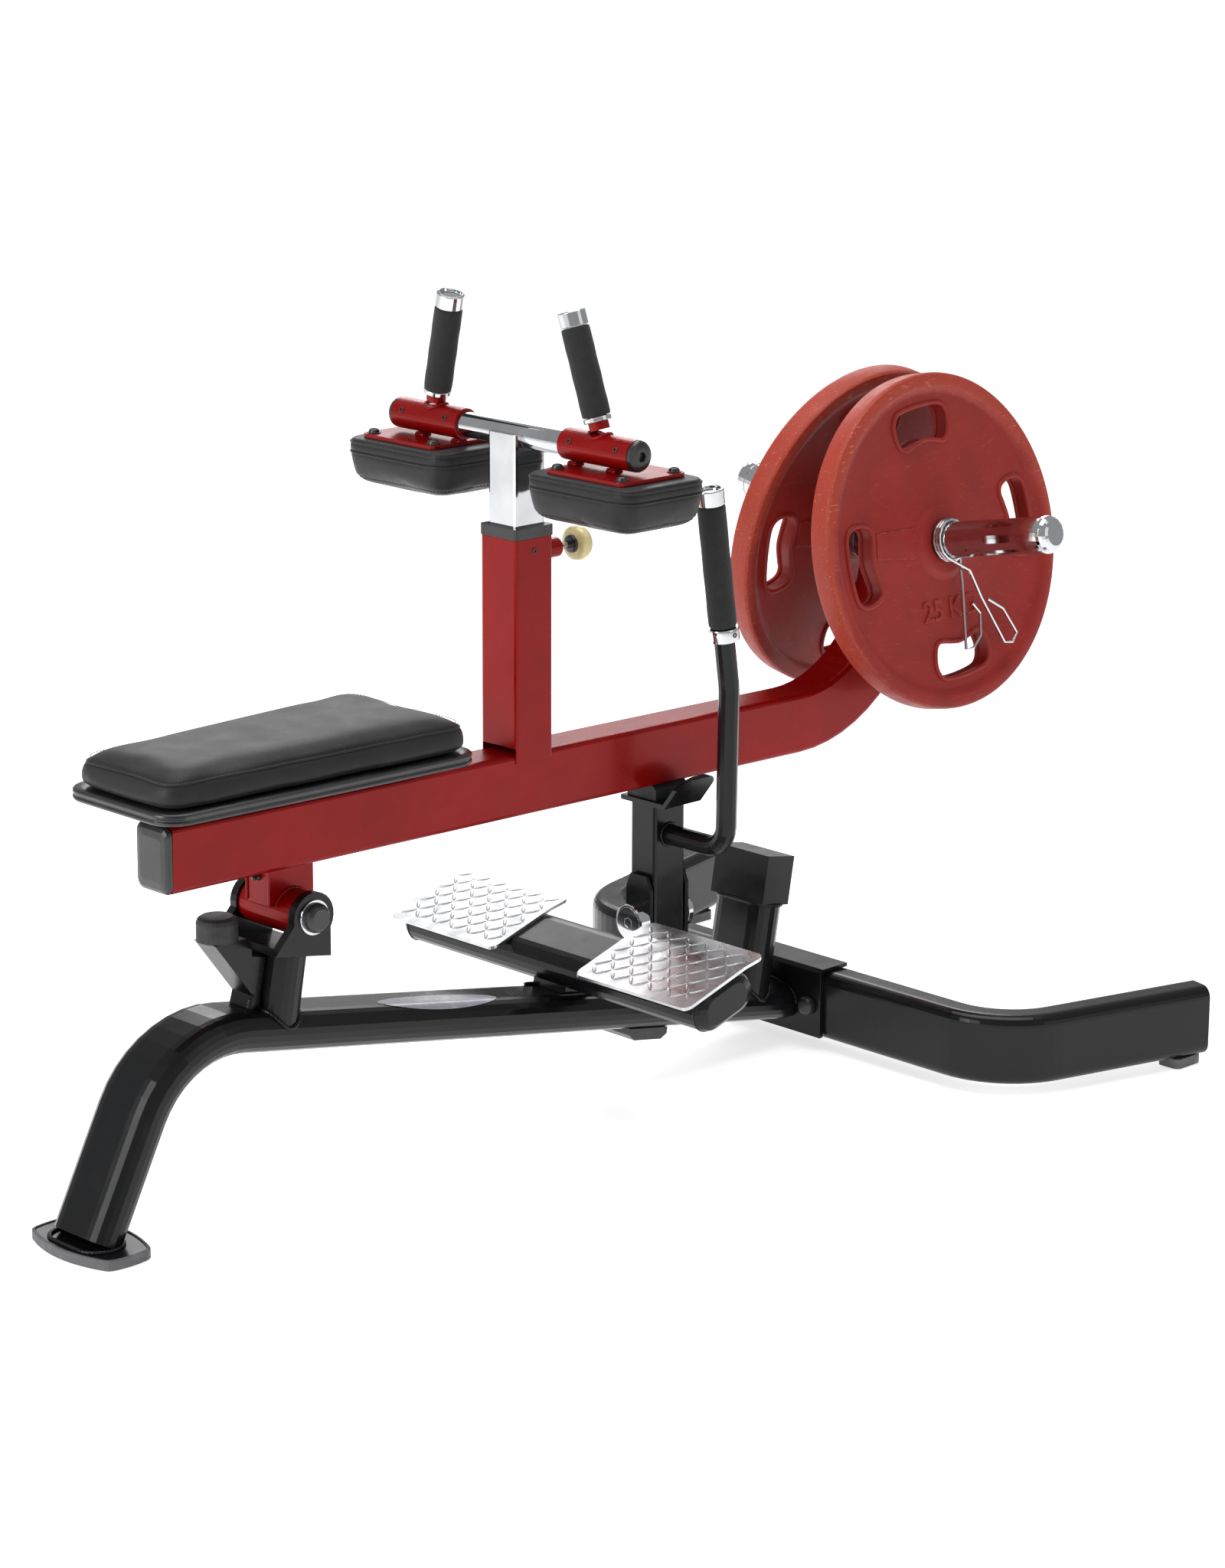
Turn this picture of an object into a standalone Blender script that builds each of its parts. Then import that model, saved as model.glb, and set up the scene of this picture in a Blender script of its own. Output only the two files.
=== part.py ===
"""Plate-loaded seated calf raise machine: fixed base, hinged lever with seat, knee
pads and weight horns, swinging support catch. Lengths below are millimetres; +X runs
from the seat end to the plate end, +Y to the sitter's left, +Z up."""
import math

import bmesh
import bpy
from mathutils import Vector

MM = 0.001
GAP = 0.3                       # clearance between touching pieces
X_SHIFT = 600.0                 # moves the weight-horn axis so the box is centred on X = 0
GROUND = 4.5                    # height of the floor on the scale the lengths below use

# base
TUBE_W, TUBE_T = 100.0, 50.0    # flat-oval tube: wide axis, thin axis
SLOPE = math.radians(10.1)      # fall of the base tube towards the plate end
BASE_Z0, BASE_X0 = 162.5, -800.0
LEG_FOOT = (-1382.0, 19.0)      # centre line of the front leg at its foot plate
LEG_KNEE = (-1267.0, 245.7)     # where leg and base tube centre lines cross
LEG_BEND_R = 135.0
BASE_END_X = -233.0
CROSS_X, CROSS_CORNER_Y, CROSS_R = -200.0, 381.0, 105.0
CROSS_END = (107.0, 461.8)      # centre of the near and far arm ends, |y|
CROSS_T, CROSS_H, CROSS_Z0 = 50.0, 94.0, 18.0
FOOT_X, FOOT_Y, FOOT_L, FOOT_W = 80.0, 454.5, 50.0, 36.0
POST_UP = 72.6                  # hinge post above the top of the base tube
PIVOT_X, PIVOT_Z = -1081.0, 360.0
EAR_Y, EAR_T, EAR_R = 48.5, 11.5, 30.5
HUB_R, PIN_R = 27.5, 10.0
FOOTREST = (-600.0, 196.3)      # centre of the footrest tube
FOOTREST_TILT = math.radians(17.6)
FOOTREST_HALF = 262.0
TREAD = (-670.0, -566.0, -532.0)    # front edge, bend line and rear edge of a tread plate
TREAD_T, TREAD_IN, TREAD_OUT = 4.0, 75.0, 276.0
STOP_X = -299.0                 # foot of the rear leg on the base tube
STOP_UP, STOP_H, STOP_W, STOP_T = 136.5, 66.0, 96.0, 50.0

# catch
SHAFT_X, SHAFT_Z = -448.0, 219.5
CATCH_L, CATCH_W = 55.0, 45.0
CATCH_TOP = 376.0
SADDLE_X = (-482.0, -416.0)

# lever
BEAM_W, BEAM_H = 59.0, 80.0
BEAM_FRONT = (-1266.0, 457.6)
BEAM_REAR_X, BEAM_REAR_Z = -248.0, 441.4
HORN_Z = 651.0                  # height of the horn axes on the centre plane
HORN_TILT = math.radians(11.0)
HORN_R, HORN_TIP = 24.5, 279.0
PLATE_R, PLATE_T, PLATE_FACE = 225.0, 34.0, 91.7
BORE_R = 25.6
SEAT_X = (-1324.0, -864.0)
SEAT_HALF = (98.0, 119.0)       # half width at the front and at the rear
SEAT_Z = 521.0
POST_X, POST_IN, POST_OUT = -697.0, 25.0, 31.0
CHEEK_Z, CHEEK_T = 478.0, 2.4     # side walls of the sleeve straddling the beam
SLEEVE_Z = (497.0, 760.0)
POST_BOTTOM = 582.0
KNEE_Z, KNEE_R, SLEEVE_R = 885.5, 16.0, 19.5
SLEEVE_Y = (92.0, 211.0)
PAD_X, PAD_Y, PAD_Z = (-760.0, -616.0), (71.0, 258.0), (796.0, 856.5)
PAD_PLATE_X, PAD_PLATE_Y, PAD_PLATE_Z = (-746.0, -635.0), (100.0, 235.0), 862.0
PLUNGER_Z = 735.0
GRIP_LEAN = math.radians(16.0)

NEAR, FAR = -1.0, 1.0
CAP = 8                         # segments per quarter of rounded profiles

parts = None
cutters = None


def reset_scene():
    """Empty the scene and make the two collections."""
    global parts, cutters
    for obj in list(bpy.data.objects):
        bpy.data.objects.remove(obj, do_unlink=True)
    parts = bpy.data.collections.new("seated_calf_raise_machine")
    cutters = bpy.data.collections.new("cutters")
    for coll in (parts, cutters):
        bpy.context.scene.collection.children.link(coll)


def paint(name, rgb, rough, metal):
    """A plain Principled material."""
    mat = bpy.data.materials.new(name)
    mat.use_nodes = True
    bsdf = mat.node_tree.nodes["Principled BSDF"]
    bsdf.inputs["Base Color"].default_value = (*rgb, 1.0)
    bsdf.inputs["Roughness"].default_value = rough
    bsdf.inputs["Metallic"].default_value = metal
    mat.diffuse_color = (*rgb, 1.0)
    return mat


LOOKS = {
    "red": ((0.30, 0.012, 0.010), 0.25, 0.0),
    "black": ((0.022, 0.022, 0.024), 0.30, 0.3),
    "chrome": ((0.80, 0.80, 0.82), 0.10, 1.0),
    "steel": ((0.62, 0.62, 0.64), 0.30, 1.0),
    "tread": ((0.72, 0.73, 0.75), 0.35, 1.0),
    "rubber": ((0.020, 0.020, 0.020), 0.75, 0.0),
    "grey": ((0.30, 0.30, 0.31), 0.70, 0.0),
    "plate": ((0.42, 0.035, 0.028), 0.50, 0.0),
    "vinyl": ((0.015, 0.015, 0.016), 0.45, 0.0),
    "foam": ((0.018, 0.018, 0.018), 0.85, 0.0),
    "plastic": ((0.020, 0.020, 0.020), 0.35, 0.0),
    "cream": ((0.70, 0.62, 0.36), 0.30, 0.0),
}


def finish(obj_name, mesh, look, pivot=None):
    """Weld and orient a mesh, give it its own material and put its origin on pivot."""
    bm = bmesh.new()
    bm.from_mesh(mesh)
    bmesh.ops.remove_doubles(bm, verts=bm.verts, dist=0.00001)
    bmesh.ops.recalc_face_normals(bm, faces=bm.faces)
    origin = at(*pivot) if pivot else Vector((0.0, 0.0, 0.0))
    bmesh.ops.translate(bm, verts=bm.verts, vec=-origin)
    bm.to_mesh(mesh)
    bm.free()
    obj = bpy.data.objects.new(obj_name, mesh)
    obj.location = origin
    (parts if look else cutters).objects.link(obj)
    if look:
        mesh.materials.append(paint(obj_name + "_" + look, *LOOKS[look]))
    else:
        obj.hide_render = True
        obj.display_type = "WIRE"
    return obj


def at(x, y, z):
    """A point in metres from millimetres measured off the horn axis."""
    return Vector(((x + X_SHIFT) * MM, y * MM, (z - GROUND) * MM))


def loft(name, rings, look, ring_closed=False, pivot=None):
    """Skin a list of equal point rings, capped at both ends or joined end to start."""
    count = len(rings[0])
    verts = [at(*p) for ring in rings for p in ring]
    faces = []
    last = len(rings) if ring_closed else len(rings) - 1
    for i in range(last):
        j = (i + 1) % len(rings)
        for k in range(count):
            m = (k + 1) % count
            faces.append((i * count + k, i * count + m, j * count + m, j * count + k))
    if not ring_closed:
        faces.append(tuple(range(count - 1, -1, -1)))
        faces.append(tuple((len(rings) - 1) * count + k for k in range(count)))
    mesh = bpy.data.meshes.new(name)
    mesh.from_pydata(verts, [], faces)
    return finish(name, mesh, look, pivot)


def rounded(w, h, r, seg=4):
    """Rounded rectangle w by h with corner radius r, centred, counter-clockwise."""
    pts = []
    for cx, cy, start in ((1, 1, 0), (-1, 1, 90), (-1, -1, 180), (1, -1, 270)):
        for i in range(seg + 1):
            a = math.radians(start + 90.0 * i / seg)
            pts.append((cx * (w / 2 - r) + r * math.cos(a), cy * (h / 2 - r) + r * math.sin(a)))
    return pts


def oval(w, t, seg=10):
    """Flat-oval profile: straight flanks and full-radius ends on the wide axis."""
    pts = []
    for side, start in ((1, -90), (-1, 90)):
        for i in range(seg + 1):
            a = math.radians(start + 180.0 * i / seg)
            pts.append((side * (w - t) / 2 + t / 2 * math.cos(a), t / 2 * math.sin(a)))
    return pts


def circle(r, n):
    return [(r * math.cos(2 * math.pi * i / n), r * math.sin(2 * math.pi * i / n))
            for i in range(n)]


def filleted(points, radii, seg=7):
    """Polyline with its inner corners rounded by arcs of the given radii."""
    pts = [Vector(p) for p in points]
    out = [pts[0]]
    for i, r in enumerate(radii, start=1):
        u = (pts[i - 1] - pts[i]).normalized()
        v = (pts[i + 1] - pts[i]).normalized()
        half = u.angle(v) / 2
        centre = pts[i] + (u + v).normalized() * (r / math.sin(half))
        a = pts[i] + u * (r / math.tan(half)) - centre
        b = pts[i] + v * (r / math.tan(half)) - centre
        turn = a.angle(b)
        for k in range(seg + 1):
            f = k / seg
            out.append(centre + (a * math.sin((1 - f) * turn) + b * math.sin(f * turn))
                       / math.sin(turn))
    out.append(pts[-1])
    return out


def frames(path, side):
    """Section frames along a path: unit side vector and unit upper vector."""
    out = []
    for i, p in enumerate(path):
        a = path[max(i - 1, 0)]
        b = path[min(i + 1, len(path) - 1)]
        t = (b - a).normalized()
        side = (side - t * side.dot(t)).normalized()
        out.append((p, side.copy(), side.cross(t)))
    return out


def sweep(name, path, profile, look, side=(0, 1, 0), pivot=None):
    """Carry a profile along a path; profile x follows side, profile y the upper vector."""
    rings = []
    for p, s, u in frames([Vector(q) for q in path], Vector(side)):
        rings.append([tuple(p + s * a + u * b) for a, b in profile])
    return loft(name, rings, look, pivot=pivot)


def turned(name, origin, axis, outline, look, n=24, bored=False, pivot=None):
    """Body of revolution from (radius, height) stations; bored joins the last to the first."""
    axis = Vector(axis).normalized()
    ref = Vector((1, 0, 0)) if abs(axis.x) < 0.9 else Vector((0, 0, 1))
    u = (ref - axis * ref.dot(axis)).normalized()
    v = axis.cross(u)
    rings = []
    for r, h in outline:
        c = Vector(origin) + axis * h
        rings.append([tuple(c + u * a + v * b) for a, b in circle(r, n)])
    return loft(name, rings, look, ring_closed=bored, pivot=pivot)


def dome(r, h0, h1, steps=3):
    """Stations of a cylinder from h0 ending in a rounded crown at h1."""
    out = [(r, h0)]
    rise = min(abs(h1 - h0) * 0.7, r * 0.6)
    way = 1 if h1 > h0 else -1
    for i in range(steps + 1):
        a = math.radians(76.0 * i / steps)
        out.append((r - rise * 0.9 * (1 - math.cos(a)), h1 - way * rise * (1 - math.sin(a))))
    return out


def slab(name, outline, axis, lo, hi, look, pivot=None):
    """Extrude an outline along x, y or z between two heights."""
    def place(a, b, c):
        return {"x": (c, a, b), "y": (a, c, b), "z": (a, b, c)}[axis]
    rings = [[place(a, b, c) for a, b in outline] for c in (lo, hi)]
    return loft(name, rings, look, pivot=pivot)


def block(name, x, y, z, look, pivot=None):
    """Axis-aligned box given three (low, high) pairs."""
    outline = [(x[0], y[0]), (x[1], y[0]), (x[1], y[1]), (x[0], y[1])]
    return slab(name, outline, "z", z[0], z[1], look, pivot)


def boolean(obj, cutter, operation="DIFFERENCE"):
    mod = obj.modifiers.new(cutter.name, "BOOLEAN")
    mod.operation = operation
    mod.solver = "EXACT"
    mod.object = cutter
    return obj


def base_z(x):
    """Height of the base tube centre line."""
    return BASE_Z0 - math.tan(SLOPE) * (x - BASE_X0)


def on_base(x, along, up):
    """Point measured along and square to the sloping base tube, x on its centre line."""
    c, s = math.cos(SLOPE), math.sin(SLOPE)
    return (x + along * c + up * s, base_z(x) - along * s + up * c)


def side_name(stem, side):
    return stem + ("_near" if side < 0 else "_far")


# ---------------------------------------------------------------- base

def build_base_tube():
    pts = [(LEG_FOOT[0], 0, LEG_FOOT[1]), (LEG_KNEE[0], 0, LEG_KNEE[1]),
           (BASE_END_X, 0, base_z(BASE_END_X))]
    path = filleted(pts, [LEG_BEND_R], seg=9)
    tube = sweep("base_tube", path, oval(TUBE_W, TUBE_T), "black")
    ground = block("cut_leg_foot", (-1500, -1250), (-90, 90), (-40, 16.6), None)
    end = block("cut_tube_end", (BASE_END_X - 2.0, -150), (-90, 90), (-20, 160), None)
    boolean(tube, ground)
    boolean(tube, end)


def foot_outline(inset):
    """Barrel-sided outline of the front foot, shrunk by inset."""
    kx, ky = 1 - inset / 48.0, 1 - inset / 79.0
    long, short = [], []
    for i in range(11):
        y = 69.0 * (2 * i / 10 - 1)
        long.append(((31 + 17 * (1 - (y / 75.0) ** 2)) * kx, y * ky))
    for i in range(5):
        x = 25.0 * (1 - 2 * i / 4)
        short.append((x * kx, (75 + 4 * (1 - (x / 31.0) ** 2)) * ky))
    pts = long + [(30.5 * kx, 73.5 * ky)] + short + [(-30.5 * kx, 73.5 * ky)]
    pts += [(-a, b) for a, b in long[::-1]] + [(-30.5 * kx, -73.5 * ky)]
    pts += [(-a, -b) for a, b in short] + [(30.5 * kx, -73.5 * ky)]
    return [(a - 1377.0, b) for a, b in pts]


def build_front_foot():
    """Steel foot plate sunk in a rubber pad with a raised rim."""
    slab("front_foot_plate", foot_outline(3.5 + GAP), "z", 10.3, 16.3, "black")
    rings = []
    for inset, z in ((1.0, GROUND), (0.0, GROUND + 1.5), (0.0, 16.7), (0.8, 17.5),
                     (3.5, 17.5), (3.5, 10.0)):
        rings.append([(a, b, z) for a, b in foot_outline(inset)])
    loft("front_foot_pad", rings, "grey")


def cope_to_base(obj, x):
    """Cut the foot of an upright to the shape of the base tube it stands on."""
    a, b = on_base(x, -90, 0), on_base(x, 90, 0)
    boolean(obj, sweep("cope_" + obj.name, [(a[0], 0, a[1]), (b[0], 0, b[1])],
                       oval(TUBE_W + 2 * GAP, TUBE_T + 2 * GAP, seg=10), None))


def build_hinge_post():
    x = -1112.0
    low, high = on_base(x, 0, 8), on_base(x, 0, TUBE_T / 2 + POST_UP)
    post = sweep("hinge_post", [(low[0], 0, low[1]), (high[0], 0, high[1])],
                 oval(TUBE_W - 2, TUBE_T), "black")
    cope_to_base(post, x)


def build_hinge_clevis():
    """U bracket with two round-topped ears; its base lies flat on the hinge post."""
    out, inn = EAR_Y + EAR_T, EAR_Y
    x0 = -1112.0
    c, s = math.cos(SLOPE), math.sin(SLOPE)
    foot = on_base(x0, 0, TUBE_T / 2 + POST_UP + GAP)
    profile = [(-out, 0), (out, 0), (out, 110), (inn, 110), (inn, 8), (-inn, 8),
               (-inn, 110), (-out, 110)]
    rings = []
    for along in (-54.0, 66.0):
        rings.append([(foot[0] + along * c + h * s, y, foot[1] - along * s + h * c)
                      for y, h in profile])
    clevis = loft("hinge_clevis", rings, "black")
    side = [(foot[0] - 47 * c, foot[1] + 47 * s), (foot[0] + 40 * c, foot[1] - 40 * s)]
    for i in range(17):
        a = math.radians(-33 + 222 * i / 16)
        side.append((PIVOT_X + EAR_R * math.cos(a), PIVOT_Z + EAR_R * math.sin(a)))
    boolean(clevis, slab("keep_clevis", side, "y", -80, 80, None), "INTERSECT")
    boolean(clevis, turned("cut_ear_bore", (PIVOT_X, -80, PIVOT_Z), (0, 1, 0),
                           [(PIN_R + GAP, 0), (PIN_R + GAP, 160)], None, n=24))


def build_hinge_pin():
    """Hinge bolt through both ears with a domed head at each end."""
    half = EAR_Y + EAR_T + GAP
    outline = dome(18.5, -half, -half - 13)[::-1] + [(PIN_R, -half), (PIN_R, half)]
    turned("hinge_pin", (PIVOT_X, 0, PIVOT_Z), (0, 1, 0),
           outline + dome(18.5, half, half + 13), "plastic", n=20)


def build_lift_stop():
    """Leaning square tube with a level top, and the rubber bumper that ends the lift."""
    a, b = on_base(-1152, 0, TUBE_T / 2 + GAP), on_base(-1141, 0, TUBE_T / 2 + GAP)
    outline = [(-1199, 339.7), (-1152, 339.7), (-1144, 331), (-1144, 316), (-1123.5, 311),
               (-1134.5, 254), (b[0], b[1]), (a[0], a[1]), (-1143.0, 266.0)]
    slab("bumper_bracket", outline, "y", -20, 20, "black")
    turned("lift_bumper", (-1180, 0, 340), (0, 0, 1),
           [(25, 0), (25, 22), (23.2, 26.5), (19, 29.3), (12, 30)], "rubber", n=28)


def build_footrest():
    """Flat-oval tube across the base with its rounded end caps."""
    cx, cz = FOOTREST
    c, s = math.cos(FOOTREST_TILT), math.sin(FOOTREST_TILT)
    half = FOOTREST_HALF
    rings = []
    for k, y in ((0.72, -half - 15), (0.93, -half - 11), (1.0, -half - 5), (1.0, half + 5),
                 (0.93, half + 11), (0.72, half + 15)):
        rings.append([(cx + (a * c - b * s) * k, y, cz + (a * s + b * c) * k)
                      for a, b in oval(TUBE_W, TUBE_T)])
    tube = loft("footrest_tube", rings, "black")
    filler = [(-646, 140), (-590, 140), (-590, 178), (-640, 172)]
    boolean(tube, slab("add_saddle", filler, "y", -30, 30, None), "UNION")
    cope_to_base(tube, -610.0)


def tread_z(x):
    """Underside height of the tread plates over the flat of the footrest tube."""
    s, c = math.sin(FOOTREST_TILT), math.cos(FOOTREST_TILT)
    px, pz = FOOTREST[0] - s * (TUBE_T / 2 + GAP), FOOTREST[1] + c * (TUBE_T / 2 + GAP)
    return pz + (x - px) * s / c


def build_treads():
    """Chequer foot plates: sloping tread with its rear edge bent up."""
    x0, x1, x2 = TREAD
    z0, z1 = tread_z(x0), tread_z(x1)
    z2 = z1 + (x2 - x1) * math.tan(math.radians(11.5))
    outline = [(x0, z0), (x1, z1), (x2, z2), (x2 - 0.8, z2 + 3.9), (x1 - 1.0, z1 + TREAD_T),
               (x0 - 1.2, z0 + 3.8)]
    for side in (NEAR, FAR):
        plate = slab(side_name("foot_plate", side), outline, "y", side * TREAD_IN,
                     side * TREAD_OUT, "tread")
        mid = side * (TREAD_IN + TREAD_OUT) / 2
        plan = [((x0 + x2) / 2 - 0.9 + a, mid + b) for a, b in
                rounded(x2 - x0 + 1.0, TREAD_OUT - TREAD_IN, 12, seg=5)]
        boolean(plate, slab("keep_" + plate.name, plan, "z", 100, 300, None), "INTERSECT")


def build_under_plate():
    """Small plate under the base tube below the catch bracket."""
    pts = [on_base(-505, -18, -25.3), on_base(-505, 51, -25.3), on_base(-505, 51, -34),
           on_base(-505, 41, -41), on_base(-505, -8, -41), on_base(-505, -18, -34)]
    slab("under_plate", pts, "y", -32, 32, "plastic")


def build_stop_leg():
    low, high = on_base(STOP_X, 0, 8), on_base(STOP_X, 0, STOP_UP)
    leg = sweep("stop_leg", [(low[0], 0, low[1]), (high[0], 0, high[1])],
                oval(TUBE_W - 2, TUBE_T), "black")
    cope_to_base(leg, STOP_X)
    pts = [on_base(STOP_X, a, h) for a, h in
           ((-STOP_T / 2, STOP_UP + GAP), (STOP_T / 2, STOP_UP + GAP),
            (STOP_T / 2, STOP_UP + STOP_H), (-STOP_T / 2, STOP_UP + STOP_H))]
    slab("stop_block", pts, "y", -STOP_W / 2, STOP_W / 2, "black")


def cross_path():
    ex, ey = CROSS_END
    pts = [(ex, -ey), (CROSS_X, -CROSS_CORNER_Y), (CROSS_X, CROSS_CORNER_Y), (ex, ey)]
    mid = CROSS_Z0 + CROSS_H / 2
    return filleted([(x, y, mid) for x, y in pts], [CROSS_R, CROSS_R], seg=12)


def build_cross_tube():
    """Wide U of rounded rectangular tube, arms bent to the plate end and splayed."""
    prof = [(b, a) for a, b in rounded(CROSS_T, CROSS_H, 15, seg=6)]
    sweep("rear_cross_tube", cross_path(), prof, "black", side=(0, 0, 1))
    for side in (NEAR, FAR):
        slab(side_name("rear_foot", side),
             [(FOOT_X + a, side * FOOT_Y + b) for a, b in rounded(FOOT_L, FOOT_W, 8, seg=3)],
             "z", GROUND, CROSS_Z0 - GAP, "grey")


def build_cross_saddle():
    """Angle plate wrapped over the cross tube where the base tube meets it."""
    face = CROSS_X - CROSS_T / 2 - GAP
    top = CROSS_Z0 + CROSS_H + GAP
    outline = [(face - 6, 22), (face, 22), (face, top), (face + 46, top), (face + 46, top + 5),
               (face - 1, top + 5), (face - 6, top)]
    slab("cross_saddle", outline, "y", -92, 92, "black")
    for side in (NEAR, FAR):
        turned(side_name("saddle_bolt", side), (face - 6 - GAP, side * 70, 64), (-1, 0, 0),
               dome(13, 0, 11), "plastic", n=16)


# ---------------------------------------------------------------- catch

def build_catch_bracket():
    """Channel on the base tube carrying the catch shaft between two uprights."""
    lo, hi = SHAFT_X - CATCH_L / 2 - 8, SHAFT_X + CATCH_L / 2 + 8
    zl, zh = base_z(lo) + TUBE_T / 2 / math.cos(SLOPE), base_z(hi) + TUBE_T / 2 / math.cos(SLOPE)
    lift = GAP + 0.2
    outline = [(lo, zl + lift), (hi, zh + lift), (hi, 281), (hi - 6, 281),
               (hi - 6, zl + 12), (lo + 6, zl + 12), (lo + 6, 281), (lo, 281)]
    bracket = slab("catch_bracket", outline, "y", -22, 22, "black")
    keep = [(-22, 60), (22, 60), (22, 262), (14, 281.5), (-14, 281.5), (-22, 262)]
    boolean(bracket, slab("keep_bracket", keep, "x", lo - 20, hi + 20, None), "INTERSECT")
    boolean(bracket, turned("cut_shaft", (lo - 20, 0, SHAFT_Z), (1, 0, 0),
                            [(PIN_R + GAP, 0), (PIN_R + GAP, 140)], None, n=20))
    long = hi - lo + 2 * GAP
    outline = [(22.5, -17), (24, -15.5), (24, 0), (PIN_R, 0), (PIN_R, long), (24, long),
               (24, long + 7.5), (22.5, long + 9)]
    turned("catch_shaft", (lo - GAP, 0, SHAFT_Z), (1, 0, 0), outline, "chrome", n=32)


CATCH_PIVOT = (SHAFT_X, 0, SHAFT_Z)


def build_catch_post():
    prof = [(SHAFT_X + a, b) for a, b in rounded(CATCH_L, CATCH_W, 4, seg=2)]
    post = slab("catch_post", prof, "z", SHAFT_Z - 24, CATCH_TOP, "black", CATCH_PIVOT)
    boolean(post, turned("cut_catch_bore", (SHAFT_X - 40, 0, SHAFT_Z), (1, 0, 0),
                         [(PIN_R + GAP, 0), (PIN_R + GAP, 80)], None, n=20))


def build_catch_saddle():
    """Bent cradle plate with a flared near wing, and the rubber block on it."""
    z = CATCH_TOP + GAP
    outline = [(34, z), (-42, z), (-46, z + 1), (-78, z + 42), (-73.5, z + 46), (-43, z + 6.5),
               (34, z + 6.5)]
    saddle = slab("catch_saddle", outline, "x", SADDLE_X[0], SADDLE_X[1], "black", CATCH_PIVOT)
    keep = [(SADDLE_X[0] - 1, z - 5), (SADDLE_X[1] + 1, z - 5), (SADDLE_X[1] + 1, z + 26)]
    for i in range(9):
        a = math.radians(180.0 * i / 8)
        keep.append((SHAFT_X - 1 + 34 * math.cos(a), z + 26 + 21 * math.sin(a)))
    keep.append((SADDLE_X[0] - 1, z + 26))
    boolean(saddle, slab("keep_saddle", keep, "y", -120, 60, None), "INTERSECT")
    low, high = z + 6.5 + GAP, 403.0
    outline = [(-26, low), (26, low), (26, high - 5), (20, high), (-20, high), (-26, high - 5)]
    slab("catch_pad", outline, "x", SADDLE_X[0] + 4, SADDLE_X[1] - 4, "rubber", CATCH_PIVOT)


ARM = [(SHAFT_X - 2, -CATCH_W / 2 - GAP, 334), (SHAFT_X - 2, -125, 334),
       (SHAFT_X + 1, -125, 545), (SHAFT_X - 36, -125, 792)]


def along_arm(d):
    """Point on the sloping top run of the catch handle, d above its bend."""
    a, b = Vector(ARM[2]), Vector(ARM[3])
    return a + (b - a).normalized() * d, (b - a).normalized()


def build_catch_handle():
    path = filleted(ARM, [30, 120], seg=6)
    sweep("catch_handle", path, circle(13.5, 14), "black", side=(1, 0, 0), pivot=CATCH_PIVOT)
    p, way = along_arm(70)
    turned("catch_grip", p, way, [(20, 0), (20, 13), (18, 14), (18, 174), (13.9, 174), (13.9, 0)],
           "foam", n=18, bored=True, pivot=CATCH_PIVOT)
    p, way = along_arm(250.4)
    turned("catch_grip_cap", p, way, dome(17, 0, 15), "chrome", n=18, pivot=CATCH_PIVOT)


# ---------------------------------------------------------------- lever

LEVER_PIVOT = (PIVOT_X, 0, PIVOT_Z)


def beam_z(x, up):
    """Height of a point up above the straight run's centre line."""
    f = (x - BEAM_FRONT[0]) / (BEAM_REAR_X - BEAM_FRONT[0])
    return BEAM_FRONT[1] + f * (BEAM_REAR_Z - BEAM_FRONT[1]) + up


def build_beam():
    """Rectangular lever tube; its rear curves upright to carry the horns."""
    pts = [(BEAM_FRONT[0], 0, BEAM_FRONT[1]), (0, 0, beam_z(0, 0)), (0, 0, HORN_Z + 38)]
    path = filleted(pts, [205], seg=14)
    sweep("lever_beam", path, rounded(BEAM_W, BEAM_H, 6, seg=3), "red", pivot=LEVER_PIVOT)
    x0, z0 = BEAM_FRONT[0] - GAP - 0.8, BEAM_FRONT[1]
    rings = []
    for k, h in ((1.02, 0.0), (1.02, 2.5), (0.97, 5.5), (0.87, 7.8), (0.66, 9.0)):
        rings.append([(x0 - h, a * k, z0 + b * k) for a, b in rounded(BEAM_W, BEAM_H, 10, seg=4)])
    loft("beam_end_cap", rings, "plastic", pivot=LEVER_PIVOT)


def build_hinge_hub():
    half = EAR_Y - 1.0
    turned("hinge_hub", (PIVOT_X, 0, PIVOT_Z), (0, 1, 0),
           [(HUB_R, -half), (HUB_R, half), (PIN_R + GAP, half), (PIN_R + GAP, -half)],
           "red", n=28, bored=True, pivot=LEVER_PIVOT)
    outline = [(PIVOT_X + 33, beam_z(PIVOT_X + 33, -BEAM_H / 2 - GAP - 0.1)),
               (PIVOT_X - 35, beam_z(PIVOT_X - 35, -BEAM_H / 2 - GAP - 0.1)),
               (PIVOT_X - 35, PIVOT_Z + 11)]
    for i in range(11):
        a = math.radians(160 - 140 * i / 10)
        outline.append((PIVOT_X + (HUB_R + GAP) * math.cos(a),
                        PIVOT_Z + (HUB_R + GAP) * math.sin(a)))
    outline.append((PIVOT_X + 33, PIVOT_Z + 11))
    slab("hinge_gusset", outline, "y", -20, 20, "red", LEVER_PIVOT)


def seat_outline(grow, r=34.0, seg=5):
    """Rounded trapezoid of the seat seen from above."""
    (x0, x1), (h0, h1) = SEAT_X, SEAT_HALF
    corners = [(x0 - grow, -h0 - grow), (x1 + grow, -h1 - grow),
               (x1 + grow, h1 + grow), (x0 - grow, h0 + grow)]
    pts = []
    for i in range(4):
        p, q, n = (Vector(corners[(i + k) % 4]) for k in (0, -1, 1))
        u, v = (q - p).normalized(), (n - p).normalized()
        half = u.angle(v) / 2
        c = p + (u + v).normalized() * (r / math.sin(half))
        a, b = p + u * (r / math.tan(half)) - c, p + v * (r / math.tan(half)) - c
        turn = a.angle(b)
        for k in range(seg + 1):
            f = k / seg
            w = (a * math.sin((1 - f) * turn) + b * math.sin(f * turn)) / math.sin(turn)
            pts.append((c + w)[:])
    return pts


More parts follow.
